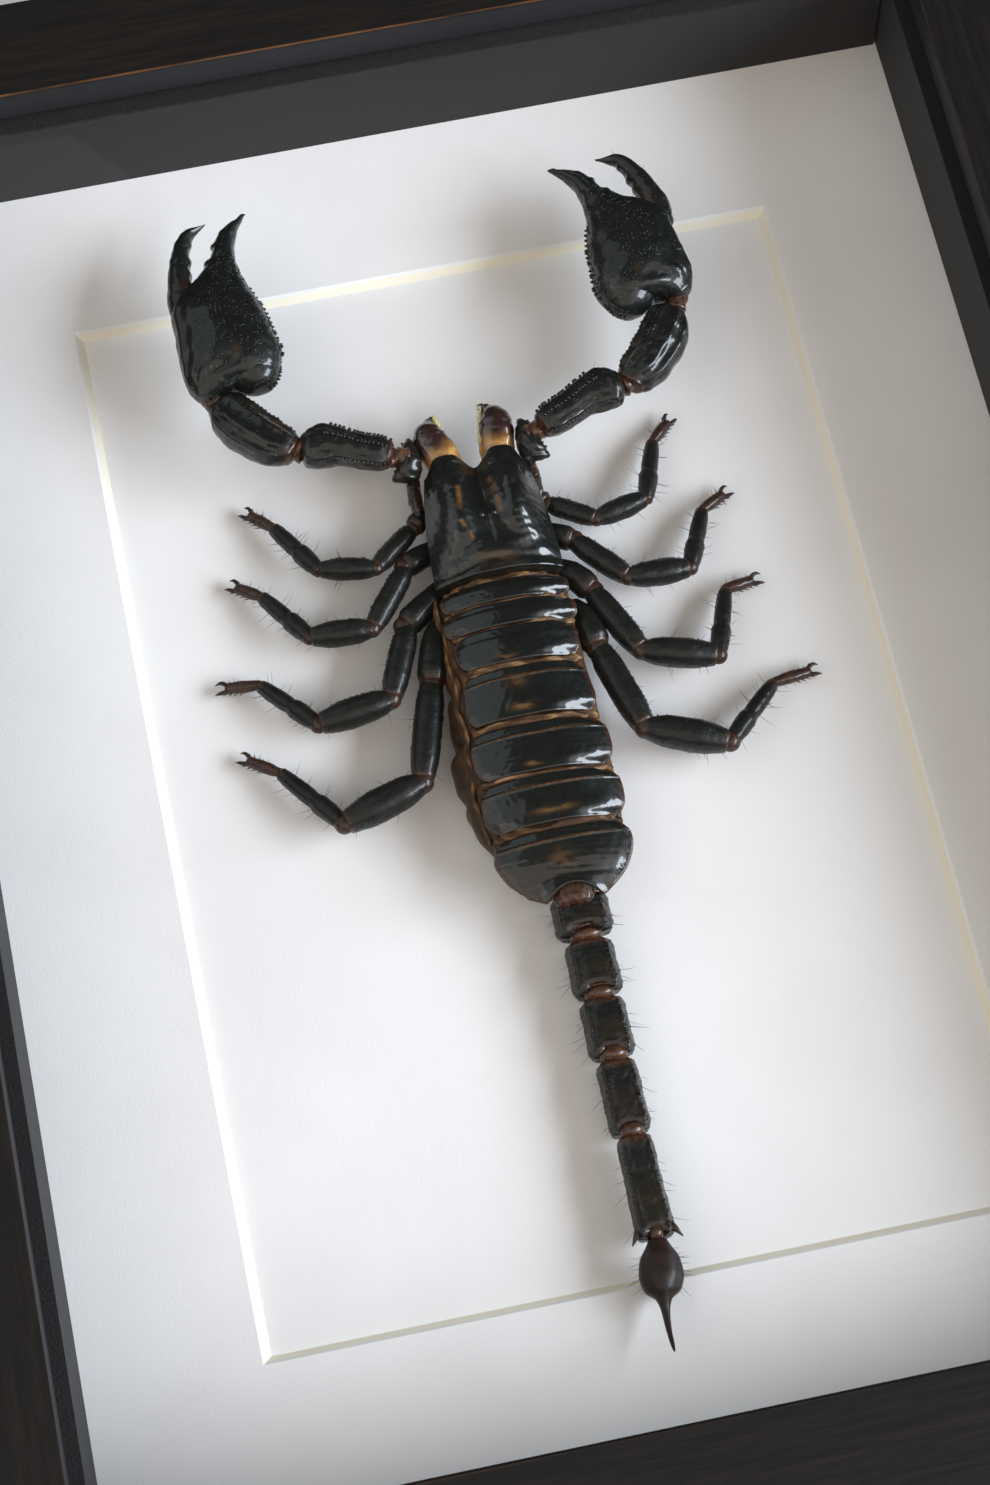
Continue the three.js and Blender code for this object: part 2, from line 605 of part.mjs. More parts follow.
// Legs: hip, thigh, knee piece, shin and foot in one jointed piece, the foot ending in two claws.
// Points near the body: hidden root, hip and end of the hip piece.
// Points beyond it: knee, end of the knee piece, ankle and toe.
const LEG_HEIGHTS = [3, 4.2, 4.8, 5.2, 4.4, 2.3, 1.4];
const CLAW_LENGTH = 1.6;
const CLAW_SPREAD = 0.45;
const SHIN_HALF = 1.05;
const FOOT_HALF = 0.8;
const legs = [
  {
    name: "left_1",
    thick: 1.3,
    near: [[-6.9, 33.8], [-8.3, 33], [-9.6, 31.5]],
    beyond: [[-15.7, 26.5], [-23.3, 28.3], [-28.2, 37], [-31, 40]],
  },
  {
    name: "left_2",
    thick: 1.5,
    near: [[-7, 28.6], [-8.9, 27.5], [-12, 26.1]],
    beyond: [[-17.9, 17.7], [-26.3, 18.6], [-31.6, 27], [-34.7, 29.5]],
  },
  {
    name: "left_3",
    thick: 1.7,
    near: [[-7.4, 22.6], [-10.5, 19.8], [-13.7, 17.3]],
    beyond: [[-17.4, 7], [-27.5, 5.8], [-34.2, 14.1], [-38.7, 14.9]],
  },
  {
    name: "left_4",
    thick: 1.9,
    near: [[-8.8, 17], [-9.9, 14.6], [-11.8, 8]],
    beyond: [[-15.7, -5.6], [-26.8, -8.9], [-33.8, 1], [-37.7, 4]],
  },
  {
    name: "right_1",
    thick: 1.3,
    near: [[6.9, 33.8], [7.9, 32.6], [9, 31.4]],
    beyond: [[15, 27.6], [22.4, 29.7], [25.5, 39.1], [28.4, 42.2]],
  },
  {
    name: "right_2",
    thick: 1.5,
    near: [[7, 28.6], [8.7, 27], [11.5, 25.3]],
    beyond: [[17.3, 18.1], [25.9, 18.1], [29.8, 27.4], [33.4, 29.6]],
  },
  {
    name: "right_3",
    thick: 1.7,
    near: [[7.4, 22.6], [9.9, 20.6], [12.3, 17.2]],
    beyond: [[16.6, 7.1], [26.6, 4.6], [30.1, 15], [34.3, 15.9]],
  },
  {
    name: "right_4",
    thick: 1.9,
    near: [[8.8, 16.2], [10.2, 13.4], [11, 8.7]],
    beyond: [[14.6, -4], [25.2, -8], [33.2, 0.1], [38.6, 1.1]],
  },
];
const evenRing = (place, half) => [place, half, half, half * 1.1, half * 1.1];
const bodySide = [toSolid(carapaceGeometry(JOINT_GAP)), grown(abdomen)];

for (const { name, thick, near, beyond } of legs) {
  const joints = [...near, ...beyond].map((point, index) => spot(point, LEG_HEIGHTS[index]));
  const [root, hip, hipEnd, knee, kneeEnd, ankle, toe] = joints;
  const stretch = (line, half, swells) => ({
    line,
    rings: swells.map(([place, share]) => evenRing(place, half * share)),
    sides: 6,
  });
  const thighStart = hip.clone().lerp(hipEnd, 0.75);
  const kneeStart = knee.clone().lerp(kneeEnd, -0.06);
  const shinStart = kneeEnd.clone().lerp(ankle, -0.08);
  const footStart = ankle.clone().lerp(toe, -0.15);
  const parts = [
    stretch([root, hip, hipEnd], thick, [[0.1, 0.9], [0.55, 1.05], [0.9, 0.9]]),
    stretch([thighStart, knee], thick, [[0.06, 0.75], [0.3, 1], [0.7, 1], [0.97, 0.7]]),
    stretch([kneeStart, kneeEnd], thick, [[0.06, 0.75], [0.32, 1.12], [0.7, 1.12], [0.96, 0.7]]),
    stretch([shinStart, ankle], SHIN_HALF, [[0.06, 0.81], [0.3, 1], [0.96, 0.71]]),
    stretch([footStart, toe], FOOT_HALF, [[0.1, 0.81], [0.5, 1], [0.95, 0.75]]),
  ];
  const ahead = toe.clone().sub(ankle).setZ(0).normalize();
  for (const side of [-1, 1]) {
    const heading = ahead.clone().applyAxisAngle(UP, side * CLAW_SPREAD);
    const clawRoot = toe.clone().addScaledVector(ahead, -0.6);
    const clawTip = toe.clone().addScaledVector(heading, CLAW_LENGTH).setZ(toe.z - 0.6);
    parts.push({ line: [clawRoot, clawTip], rings: [[0.2, 0.35, 0.35, 0.35, 0.35]], sides: 4 });
  }
  const leg = carved(joined(parts.map((part) => toSolid(drawnOut(part)))), bodySide);
  addPiece(scorpion, `leg_${name}`, toGeometry(leg), chitin);
}

export default specimen;
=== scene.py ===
# A dried forest scorpion in a glazed black box frame, lying on the frame's back.
# Lengths are millimetres, and heights are above the backing board, until a mesh is written in metres.
# Shaders, camera and lamps measure in metres from the frame's own zero.
import math

import bpy
import numpy as np
from mathutils import Matrix, Vector


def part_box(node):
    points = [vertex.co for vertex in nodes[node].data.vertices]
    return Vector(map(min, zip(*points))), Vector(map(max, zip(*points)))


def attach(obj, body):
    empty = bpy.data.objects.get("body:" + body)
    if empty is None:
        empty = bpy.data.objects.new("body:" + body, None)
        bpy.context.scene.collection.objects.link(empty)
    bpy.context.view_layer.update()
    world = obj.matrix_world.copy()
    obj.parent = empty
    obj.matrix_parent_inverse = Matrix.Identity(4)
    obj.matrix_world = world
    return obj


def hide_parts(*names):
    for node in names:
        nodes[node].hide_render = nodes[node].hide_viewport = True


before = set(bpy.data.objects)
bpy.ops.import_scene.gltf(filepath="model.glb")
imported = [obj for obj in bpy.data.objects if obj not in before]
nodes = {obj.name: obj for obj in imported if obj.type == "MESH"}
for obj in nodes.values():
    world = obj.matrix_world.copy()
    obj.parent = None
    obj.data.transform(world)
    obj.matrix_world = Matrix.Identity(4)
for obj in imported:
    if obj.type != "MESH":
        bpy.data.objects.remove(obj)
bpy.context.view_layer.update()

# Camera: it looks down on the case from beyond its lower end, a little to the left.
# It stands where the photograph was taken from, turned by its own directions to the right and upwards.
CAMERA_PLACE = Vector((-0.037975, -0.176691, 0.417513))
CAMERA_RIGHT = Vector((0.97872, -0.20499, -0.00938))
CAMERA_UP = Vector((0.19137, 0.89529, 0.40228))
camera = bpy.data.objects.new("camera", bpy.data.cameras.new("camera"))
camera.data.lens = 81.316
camera_turn = Matrix((CAMERA_RIGHT, CAMERA_UP, CAMERA_RIGHT.cross(CAMERA_UP))).transposed()
camera.matrix_world = Matrix.Translation(CAMERA_PLACE) @ camera_turn.to_4x4()
bpy.context.scene.collection.objects.link(camera)
bpy.context.scene.camera = camera


# Back panel: a sheet of brown hardboard that closes the back of the frame.
# It lies in a shallow recess and is pressed smooth on its outer side, with fine fibres showing.
class Field:
    """An output of a shader node. Arithmetic on it adds Math nodes to its material."""

    def __init__(self, tree, socket=None):
        self.tree = tree
        self.socket = socket

    def fill(self, node, sockets):
        """Sets or links a node's inputs, found by identifier or by name."""
        for name, value in sockets.items():
            found = [s for s in node.inputs if s.identifier == name]
            target = (found or [node.inputs[name]])[0]
            if isinstance(value, Field):
                self.tree.links.new(value.socket, target)
            else:
                target.default_value = value

    def node(self, kind, settings=None, sockets=None, output=0):
        """Adds any other node: its settings, then the values or links of its sockets."""
        made = self.tree.nodes.new("ShaderNode" + kind)
        for name, value in (settings or {}).items():
            setattr(made, name, value)
        self.fill(made, sockets or {})
        return Field(self.tree, made.outputs[output])

    def math(self, operation, first, second=0.0):
        return self.node("Math", {"operation": operation}, {"Value": first, "Value_001": second})

    def __add__(self, other):
        return self.math("ADD", self, other)

    def __sub__(self, other):
        return self.math("SUBTRACT", self, other)

    def __rsub__(self, other):
        return self.math("SUBTRACT", other, self)

    def __mul__(self, other):
        return self.math("MULTIPLY", self, other)

    __radd__ = __add__
    __rmul__ = __mul__

    def step(self, low, high):
        """0 below low, 1 above high and smooth between them."""
        sockets = {"Value": self, "From Min": low, "From Max": high}
        return self.node("MapRange", {"interpolation_type": "SMOOTHSTEP"}, sockets)

    def blend(self, first, second):
        """A colour that goes from the first to the second as this value goes from 0 to 1."""
        sockets = {"Factor_Float": self, "A_Color": first, "B_Color": second}
        return self.node("Mix", {"data_type": "RGBA"}, sockets, output=2)

    def mottle(self, first, second):
        """A cloudy mix of two colours, for noise."""
        return self.step(0.3, 0.7).blend(first, second)

    def tint(self, name):
        """A value that the mesh holds for each of its points."""
        return self.node("Attribute", {"attribute_name": name}, output="Fac")

    def place(self):
        return self.node("TexCoord", output="Object")

    def axes(self):
        """The place's three coordinates in metres."""
        split = self.tree.nodes.new("ShaderNodeSeparateXYZ")
        self.fill(split, {"Vector": self.place()})
        return [Field(self.tree, output) for output in split.outputs]

    def noise(self, size, stretch=(1, 1, 1), detail=3.0, roughness=0.55):
        """Cloudy values around 0.5, with spots about as wide as size in millimetres."""
        stretched = self.node(
            "Mapping", sockets={"Vector": self.place(), "Scale": [1000 / size / s for s in stretch]}
        )
        sockets = {"Vector": stretched, "Scale": 1.0, "Detail": detail, "Roughness": roughness}
        return self.node("TexNoise", sockets=sockets)

    def bump(self, depth):
        """A normal that follows this height, with its full rise given in millimetres."""
        return self.node("Bump", sockets={"Height": self, "Distance": depth / 1000, "Strength": 1.0})


def finish(name, surface):
    """A material whose shader takes the sockets that surface(field) returns."""
    material = bpy.data.materials.new(name)
    material.use_nodes = True
    start = Field(material.node_tree)
    start.fill(material.node_tree.nodes["Principled BSDF"], surface(start))
    return material


def dress(node_name, material):
    nodes[node_name].data.materials.clear()
    nodes[node_name].data.materials.append(material)


def soften_edges(node_name, width):
    bevel = nodes[node_name].modifiers.new("worn edges", "BEVEL")
    bevel.width = width / 1000
    bevel.segments = 3
    bevel.harden_normals = True


def hardboard(field):
    fibres = field.noise(0.7, stretch=(3, 1, 1), detail=6)
    clouds = field.noise(18)
    shade = fibres * 0.6 + clouds * 0.4
    return {
        "Base Color": shade.mottle((0.13, 0.062, 0.026, 1), (0.25, 0.13, 0.06, 1)),
        "Roughness": 0.62 + fibres * 0.2,
        "Normal": fibres.bump(0.05),
    }


dress("back_panel", finish("hardboard", hardboard))
soften_edges("back_panel", 0.3)


# Turn tabs and hanger: thin stamped steel, bright with fine rolling marks.
# The tabs lie over the edge of the back panel, and the notched hanger is fixed near its upper end.
def plain_steel(field):
    marks = field.noise(0.25, stretch=(12, 1, 1))
    stain = field.noise(4)
    return {
        "Base Color": stain.step(0.35, 0.75).blend((0.62, 0.62, 0.61, 1), (0.42, 0.41, 0.39, 1)),
        "Metallic": 1.0,
        "Roughness": 0.22 + marks * 0.3,
        "Normal": marks.bump(0.01),
    }


steel = finish("plain_steel", plain_steel)
for fitting in [name for name in nodes if name.startswith("back_tab_")] + ["hanger_plate"]:
    dress(fitting, steel)
    soften_edges(fitting, 0.12)


# Backing board and mat: white card with a fine tooth, the mat's window cut at 45 degrees.
# The scorpion is fixed to the backing, and the mat lies on it with its cream core showing at the cut.
CREAM_CORE = (0.85, 0.81, 0.67, 1)
FACING_PAPER = 0.0004
CORE_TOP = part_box("mat_board")[1].z - FACING_PAPER


def white_card(field):
    return {
        "Base Color": field.noise(30).mottle((0.80, 0.79, 0.785, 1), (0.85, 0.845, 0.84, 1)),
        "Roughness": 0.9,
        "Specular IOR Level": 0.2,
        "Normal": field.noise(0.32, detail=4).bump(0.035),
    }


def mat_card(field):
    card = white_card(field)
    facing = field.node("NewGeometry", output="True Normal")
    up = field.node("SeparateXYZ", sockets={"Vector": facing}, output=2)
    core = 1 - field.axes()[2].step(CORE_TOP, CORE_TOP + 0.0001)
    cut = up.step(0.2, 0.4) * (1 - up.step(0.8, 0.95)) * core
    card["Base Color"] = cut.blend(card["Base Color"], CREAM_CORE)
    return card


dress("backing_board", finish("backing_card", white_card))
dress("mat_board", finish("mat_card", mat_card))

# Abdomen: the soft brown body, dried and slumped to one side under the back plates.
# Folds of skin show between the plates, and a long fold with lobes below it runs down the left side.
BODY_X = 0.2
BELLY_HEIGHT = 4.5
BOARD_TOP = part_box("backing_board")[1].z * 1000
UP = np.array((0.0, 0.0, 1.0))


def eased(places, values, at):
    """Values of a table read smoothly between its places, without overshooting them."""
    places = np.asarray(places, float)
    values = np.asarray(values, float).reshape(len(places), -1)
    step = np.diff(places)[:, None]
    rise = np.diff(values, axis=0) / step
    slope = np.concatenate([rise[:1], np.zeros_like(values[1:-1]), rise[-1:]])
    before, after = rise[:-1], rise[1:]
    total = np.where(before * after > 0, before + after, 1)
    slope[1:-1] = np.where(before * after > 0, 2 * before * after / total, 0)
    flat = np.asarray(at, float).ravel()
    index = np.clip(np.searchsorted(places, flat) - 1, 0, len(places) - 2)
    t = np.clip((flat - places[index]) / step[index, 0], 0, 1)[:, None]
    curve = (1 + 2 * t) * (1 - t) ** 2 * values[index] + t**2 * (3 - 2 * t) * values[index + 1]
    curve += step[index] * (t * (1 - t) ** 2 * slope[index] - t**2 * (1 - t) * slope[index + 1])
    return curve.reshape(*np.shape(at), -1)


def smooth_line(points, at):
    """Points on a smooth curve through the given ones, by share of its length."""
    points = np.asarray(points, float)
    walked = np.concatenate([[0], np.cumsum(np.linalg.norm(np.diff(points, axis=0), axis=1))])
    return eased(walked / walked[-1], points, at)


def bell(value, middle, width):
    return np.exp(-(((value - middle) / width) ** 2))


def bells(value, middles, width):
    return sum(bell(value, middle, width) for middle in middles)


def ramp(value, low, high):
    """0 at low, 1 at high and smooth between them, whichever is larger."""
    t = np.clip((value - low) / (high - low), 0, 1)
    return t * t * (3 - 2 * t)


def swells(points, size, seed):
    """Smooth random values around 0, about as wide as size."""
    random = np.random.default_rng(seed)
    total = np.zeros(points.shape[:-1])
    for _ in range(9):
        way = random.normal(size=3)
        way *= 2 * math.pi * random.uniform(0.6, 1.3) / size / np.linalg.norm(way)
        total += np.sin(points @ way + random.uniform(0, 2 * math.pi))
    return total / 4.5


def unit(vectors):
    return vectors / np.maximum(np.linalg.norm(vectors, axis=-1, keepdims=True), 1e-9)


def sheet(x, y, z):
    """Points from coordinates that may differ in shape."""
    return np.stack(np.broadcast_arrays(x, y, z), axis=-1)


def full_ring(share, *reach):
    """A ring's share along the line, then its reach to the left, right, up and down of it.

    Fewer reaches stand for: all around; sideways and upright; or sideways, up and down.
    """
    sides = {1: (0, 0, 0, 0), 2: (0, 0, 1, 1), 3: (0, 0, 1, 2), 4: (0, 1, 2, 3)}[len(reach)]
    return (share, *[reach[side] for side in sides])


class Tube:
    """A body part: rows of points around a middle line, rounded off at both ends.

    Each point's share along the line is kept as s and its angle as a.
    Angles start at the right-hand side and turn upwards.
    """

    def __init__(self, line, rings, rows=40, sides=32, squareness=2.3):
        rings = np.array([full_ring(*ring) for ring in rings], float)
        self.along = (1 - np.cos(np.linspace(0, math.pi, rows + 2)[1:-1])) / 2
        self.angle = np.linspace(0, 2 * math.pi, sides, endpoint=False)
        middle = smooth_line(line, self.along)
        ahead = unit(np.gradient(middle, self.along, axis=0))
        side = unit(np.cross(ahead, UP))
        above = np.cross(side, ahead)
        reach = eased(rings[:, 0], rings[:, 1:], np.clip(self.along, rings[0, 0], rings[-1, 0]))
        short = np.minimum(self.along / rings[0, 0], (1 - self.along) / (1 - rings[-1, 0]))
        left, right, up, down = (reach * np.sqrt(1 - (1 - np.minimum(short, 1)) ** 2)[:, None]).T

        def rounded(value):
            return np.sign(value) * np.abs(value) ** (2 / squareness)

        across = (right - left)[:, None] / 2 + (right + left)[:, None] / 2 * rounded(np.cos(self.angle))
        high = (up - down)[:, None] / 2 + (up + down)[:, None] / 2 * rounded(np.sin(self.angle))
        self.points = middle[:, None] + across[..., None] * side[:, None]
        self.points = self.points + high[..., None] * above[:, None]
        self.ends = smooth_line(line, np.array((0.0, 1.0)))
        self.s = self.along[:, None]
        self.a = self.angle[None, :]

    def normals(self):
        lengthways = np.gradient(self.points, axis=0)
        around = np.roll(self.points, -1, axis=1) - np.roll(self.points, 1, axis=1)
        return unit(np.cross(lengthways, around))

    def raise_by(self, height):
        """Moves the surface outwards by a height for each point."""
        height = np.broadcast_to(height, self.points.shape[:2])
        self.points = self.points + self.normals() * height[..., None]

    def spots(self, share, angle):
        """Places on the surface and the normals there, for shares along it and angles around it."""
        row = np.clip(np.searchsorted(self.along, share), 1, len(self.along) - 2)
        sides = len(self.angle)
        column = np.round(np.asarray(angle) / (2 * math.pi) * sides).astype(int) % sides
        return self.points[row, column], self.normals()[row, column]

    def part(self, skin=0, warm=0, dust=0):
        """Points, faces and the three tints of each point, held between 0 and 1."""
        rows, sides = self.points.shape[:2]
        here = np.arange(rows * sides).reshape(rows, sides)
        beside = np.roll(here, -1, axis=1)
        quads = np.stack([here[:-1], here[1:], beside[1:], beside[:-1]], axis=-1).reshape(-1, 4)
        start, end = rows * sides, rows * sides + 1
        fans = [(start, a, b) for a, b in zip(here[0], beside[0])]
        fans += [(end, b, a) for a, b in zip(here[-1], beside[-1])]
        tints = [self.with_ends(tint) for tint in (skin, warm, dust)]
        return np.concatenate([self.points.reshape(-1, 3), self.ends]), quads.tolist() + fans, tints

    def with_ends(self, tint):
        full = np.broadcast_to(np.clip(tint, 0, 1), self.points.shape[:2])
        return np.concatenate([full.ravel(), [full[0].mean(), full[-1].mean()]])


def circles(sides, aside, other):
    turn = np.linspace(0, 2 * math.pi, sides, endpoint=False)[None, :, None]
    return np.cos(turn) * aside[:, None] + np.sin(turn) * other[:, None]


def cones(low, high, tip, warm):
    """Many small closed cones, each of two rings of points and a tip."""
    count, sides = low.shape[:2]
    points = np.concatenate([low, high, tip[:, None]], axis=1).reshape(-1, 3)
    pattern = [tuple(range(sides))[::-1]]
    for i in range(sides):
        j = (i + 1) % sides
        pattern += [(i, j, sides + j, sides + i), (sides + i, sides + j, 2 * sides)]
    corners = 2 * sides + 1
    faces = [[first + i for i in face] for first in range(0, count * corners, corners) for face in pattern]
    blank = np.zeros(count * corners)
    return points, faces, [blank, blank + warm, blank]


def studs(places, normals, size, height, warm=0.0):
    """Small closed domes on a surface."""
    size = np.broadcast_to(size, len(places))[:, None, None]
    height = np.broadcast_to(height, len(places))[:, None]
    aside = unit(np.cross(normals, np.where(np.abs(normals[:, 2:]) > 0.8, (1.0, 0.0, 0.0), UP)))
    ring = circles(6, aside, np.cross(normals, aside))
    low = places[:, None] + ring * size - normals[:, None] * size * 0.4
    high = places[:, None] + ring * size * 0.62 + (normals * height * 0.72)[:, None]
    return cones(low, high, places + normals * height, warm)


def hairs(places, ways, length, thickness=0.035, warm=0.6):
    """Fine tapered bristles, each a little bent."""
    ways = unit(ways)
    length = np.broadcast_to(length, len(places))[:, None]
    aside = unit(np.cross(ways, UP) + 1e-6)
    other = np.cross(ways, aside)
    ring = circles(3, aside, other) * thickness
    root = places - ways * thickness * 3
    bent = places + ways * length * 0.55 + other * length * 0.05
    tip = places + ways * length - other * length * 0.03
    return cones(root[:, None] + ring, bent[:, None] + ring * 0.7, tip, warm)


def add_piece(name, parts, material):
    """Joins parts into one mesh that stands for the CAD solid of the same name."""
    points, faces, tints, first = [], [], [], 0
    for part_points, part_faces, part_tints in parts:
        points.append(part_points)
        faces += [tuple(index + first for index in face) for face in part_faces]
        tints.append(np.stack(part_tints))
        first += len(part_points)
    places = (np.concatenate(points) + (0, 0, BOARD_TOP)) / 1000
    mesh = bpy.data.meshes.new(name + "_shell")
    mesh.from_pydata(places.tolist(), [], faces)
    mesh.shade_smooth()
    for label, values in zip(("skin", "warm", "dust"), np.concatenate(tints, axis=1)):
        mesh.attributes.new(label, "FLOAT", "POINT").data.foreach_set("value", values.astype(np.float32))
    mesh.materials.append(material)
    piece = bpy.data.objects.new(name + "_shell", mesh)
    bpy.context.scene.collection.objects.link(piece)
    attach(piece, "root")
    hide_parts(name)


def brown_skin(field):
    # On the folds this tint holds their pale crests, with painted light making them paler towards the right.
    crest = field.tint("dust")
    lobe = field.tint("warm")
    crosswise = field.tint("skin")
    across = field.noise(0.4, stretch=(6, 1, 1), detail=5)
    lengthways = field.noise(0.4, stretch=(1, 6, 1), detail=5)
    creases = across * crosswise + lengthways * (1 - crosswise)
    clouds = field.noise(2.5)
    soft = clouds.mottle((0.028, 0.012, 0.0045, 1), (0.075, 0.034, 0.012, 1))
    tan = creases.step(0.35, 0.68).blend((0.06, 0.027, 0.009, 1), (0.34, 0.19, 0.085, 1))
    dark = clouds.mottle((0.016, 0.0085, 0.0035, 1), (0.05, 0.025, 0.009, 1))
    return {
        "Base Color": lobe.blend(crest.blend(soft, tan), dark),
        "Roughness": 0.55 - lobe * 0.2 + creases * 0.1,
        "Specular IOR Level": 0.3,
        "Normal": creases.bump(0.2),
    }


# Rows: place along Y, reach to +X and -X of the middle line, reach above and below the widest level.
GIRTHS = np.array(
    (
        (20, 6.8, 6.8, 3.2, 3.4),
        (18.4, 8.6, 8.8, 4.1, 4.3),
        (14, 8.8, 9.2, 4.4, 4.4),
        (8, 8.7, 10.2, 4.5, 4.4),
        (0, 8.9, 11, 4.5, 4.4),
        (-4.5, 8.8, 11.9, 4.5, 4.4),
        (-9, 9, 11.7, 4.4, 4.4),
        (-13, 8.9, 10.8, 4.2, 4.3),
        (-17, 8.4, 9.6, 4, 4.2),
        (-21, 6.9, 8.2, 3.6, 4),
        (-23.6, 5.4, 6, 3, 3.4),
    )
)
ABDOMEN_START, ABDOMEN_END = 20.4, -24.6
FOLD_POINTS = 15
# Rows: place along Y, half width, thickness and paleness of the folds, the first behind the carapace.
FOLDS = (
    (19.75, 8.0, 0.55, 0.65),
    (16.05, 8.3, 0.36, 0.35),
    (12.3, 8.3, 0.38, 0.4),
    (6.65, 7.9, 0.6, 0.6),
    (-1.6, 8.5, 0.55, 0.5),
    (-9.25, 8.7, 0.42, 0.3),
    (-16.7, 8.4, 0.5, 0.05),
)


def crest(y):
    """Height of the abdomen along its middle."""
    return BELLY_HEIGHT + eased(-GIRTHS[:, 0], GIRTHS[:, 3], -y)[..., 0]


def abdomen_top(x, y):
    """Height of the abdomen's upper side, with x from its middle line."""
    plus_x, minus_x, rise, _ = np.moveaxis(eased(-GIRTHS[:, 0], GIRTHS[:, 1:], -y), -1, 0)
    outward = np.abs(x - (plus_x - minus_x) / 2) / ((plus_x + minus_x) / 2)
    return BELLY_HEIGHT + rise * (1 - np.minimum(outward, 0.97) ** 2.3) ** (1 / 2.3)


girth_shares = (ABDOMEN_START - GIRTHS[:, 0]) / (ABDOMEN_START - ABDOMEN_END)
abdomen = Tube(
    line=[(BODY_X, ABDOMEN_START, BELLY_HEIGHT), (BODY_X, ABDOMEN_END, BELLY_HEIGHT)],
    rings=np.column_stack([girth_shares, GIRTHS[:, 1:]]),
    rows=150,
    sides=96,
)
place_y = abdomen.points[..., 1]
turn = (abdomen.a + math.pi) % (2 * math.pi) - math.pi
left_side = bell(turn, 0.15, 0.55)
creases = swells(abdomen.points * (1, 0.35, 1), 1.2, 3)
lobe_gaps = bells(place_y, [fold[0] - 0.4 for fold in FOLDS[3:]], 1.1)
abdomen.raise_by(0.06 * creases - 0.9 * lobe_gaps * left_side)
lobes = left_side * 1.4 * ramp(place_y, 8, 3)
abdomen_parts = [abdomen.part(warm=lobes, dust=0.25 + 0.35 * creases)]
for number, (y, half_width, thickness, paleness) in enumerate(FOLDS):
    x = np.linspace(-1, 1, FOLD_POINTS) * half_width
    waver = swells(sheet(x, 0, 0), 7, 30 + number)
    line = sheet(x + BODY_X, y + 0.14 * waver, abdomen_top(x, y) + 0.45)
    thick = thickness * (1 + 0.3 * waver)
    rings = zip(np.linspace(0.02, 0.98, FOLD_POINTS), thick, thick * 0.8, thick * 2)
    fold = Tube(line, rings, rows=140, sides=24)
    wrinkles = swells(fold.points * (0.14, 1, 1), 0.75, 50 + number)
    fold.raise_by(0.2 * wrinkles)
    # Painted light: the folds' crests are made paler towards the right, where the window lamp falls.
    painted_window_light = 0.6 + 0.4 * ramp(fold.points[..., 0], -7, 4)
    pale = paleness * painted_window_light - 0.08 + 0.9 * wrinkles
    abdomen_parts.append(fold.part(skin=1, dust=pale))
# The long side fold, as places along X and Y.
SIDE_FOLD = (
    (-8.8, 20), (-9.1, 16.5), (-8.8, 13), (-9, 9.5), (-8.6, 6.5), (-9.2, 2.5), (-8.8, -1), (-9.2, -4),
    (-8.9, -7), (-9.8, -9.8), (-9.2, -13), (-8.9, -16.6),
)
fold_x, fold_y = np.array(SIDE_FOLD).T
line = sheet(fold_x, fold_y, abdomen_top(fold_x - BODY_X, fold_y) + 0.05)
rings = [(0.03, 0.35, 0.4, 0.8), (0.5, 0.5, 0.5, 0.8), (0.97, 0.35, 0.3, 0.8)]
side_fold = Tube(line, rings, rows=160, sides=24)
wrinkles = swells(side_fold.points * (1, 0.2, 1), 0.8, 61)
side_fold.raise_by(0.17 * wrinkles)
fading = ramp(side_fold.points[..., 1], -12, 4)
abdomen_parts.append(side_fold.part(dust=0.2 + 0.35 * fading + 0.6 * wrinkles))
add_piece("abdomen", abdomen_parts, finish("brown_skin", brown_skin))


# Carapace: the hard head shield, one glossy black piece with two lobes in front.
# A furrow runs back from the notch past the eye knob, and wrinkled furrows cross its rear.
def shield(top, bottom, bulge, tints, rim_tint=(0, 0, 0), steps=8):
    """A closed plate from an upper and a lower sheet of points, with a rounded rim between them."""
    rows, columns = top.shape[:2]
    count = rows * columns
    index = np.arange(count).reshape(rows, columns)
    loop = np.concatenate([index[0, :-1], index[:-1, -1], index[-1, :0:-1], index[:0:-1, 0]])
    upper, lower = top.reshape(-1, 3), bottom.reshape(-1, 3)
    run = np.roll(upper[loop], -1, axis=0) - np.roll(upper[loop], 1, axis=0)
    out = unit(np.cross(run, UP))
    turns = np.linspace(0, math.pi, steps + 1)[1:-1]
    points = [upper, lower]
    for t in turns:
        sunk = upper[loop] + (lower - upper)[loop] * (1 - math.cos(t)) / 2
        points.append(sunk + out * bulge * math.sin(t))
    quads = np.stack([index[:-1, :-1], index[:-1, 1:], index[1:, 1:], index[1:, :-1]], axis=-1)
    quads = quads.reshape(-1, 4)
    faces = quads.tolist() + (quads[:, ::-1] + count).tolist()
    rings = [loop]
    rings += [2 * count + k * len(loop) + np.arange(len(loop)) for k in range(len(turns))]
    rings += [loop + count]
    for above, below in zip(rings, rings[1:]):
        faces += np.stack([below, np.roll(below, -1), np.roll(above, -1), above], axis=-1).tolist()
    sinking = (1 - np.cos(turns)) / 2
    spread = []
    for tint, low_tint in zip(tints, rim_tint):
        full = np.broadcast_to(np.clip(tint, 0, 1), (rows, columns)).ravel()
        rim = [full[loop] * (1 - share) + low_tint * share for share in sinking]
        spread.append(np.concatenate([full, full * 0 + low_tint, *rim]))
    return np.concatenate(points), faces, spread


def streak(points, start, end, width):
    """1 on a line across the surface, seen from above, fading out to both sides of it."""
    start, end = np.array(start), np.array(end)
    run = end - start
    flat = points[..., :2] - start
    share = np.clip((flat @ run) / (run @ run), 0, 1)
    return bell(np.linalg.norm(flat - share[..., None] * run, axis=-1), 0, width)


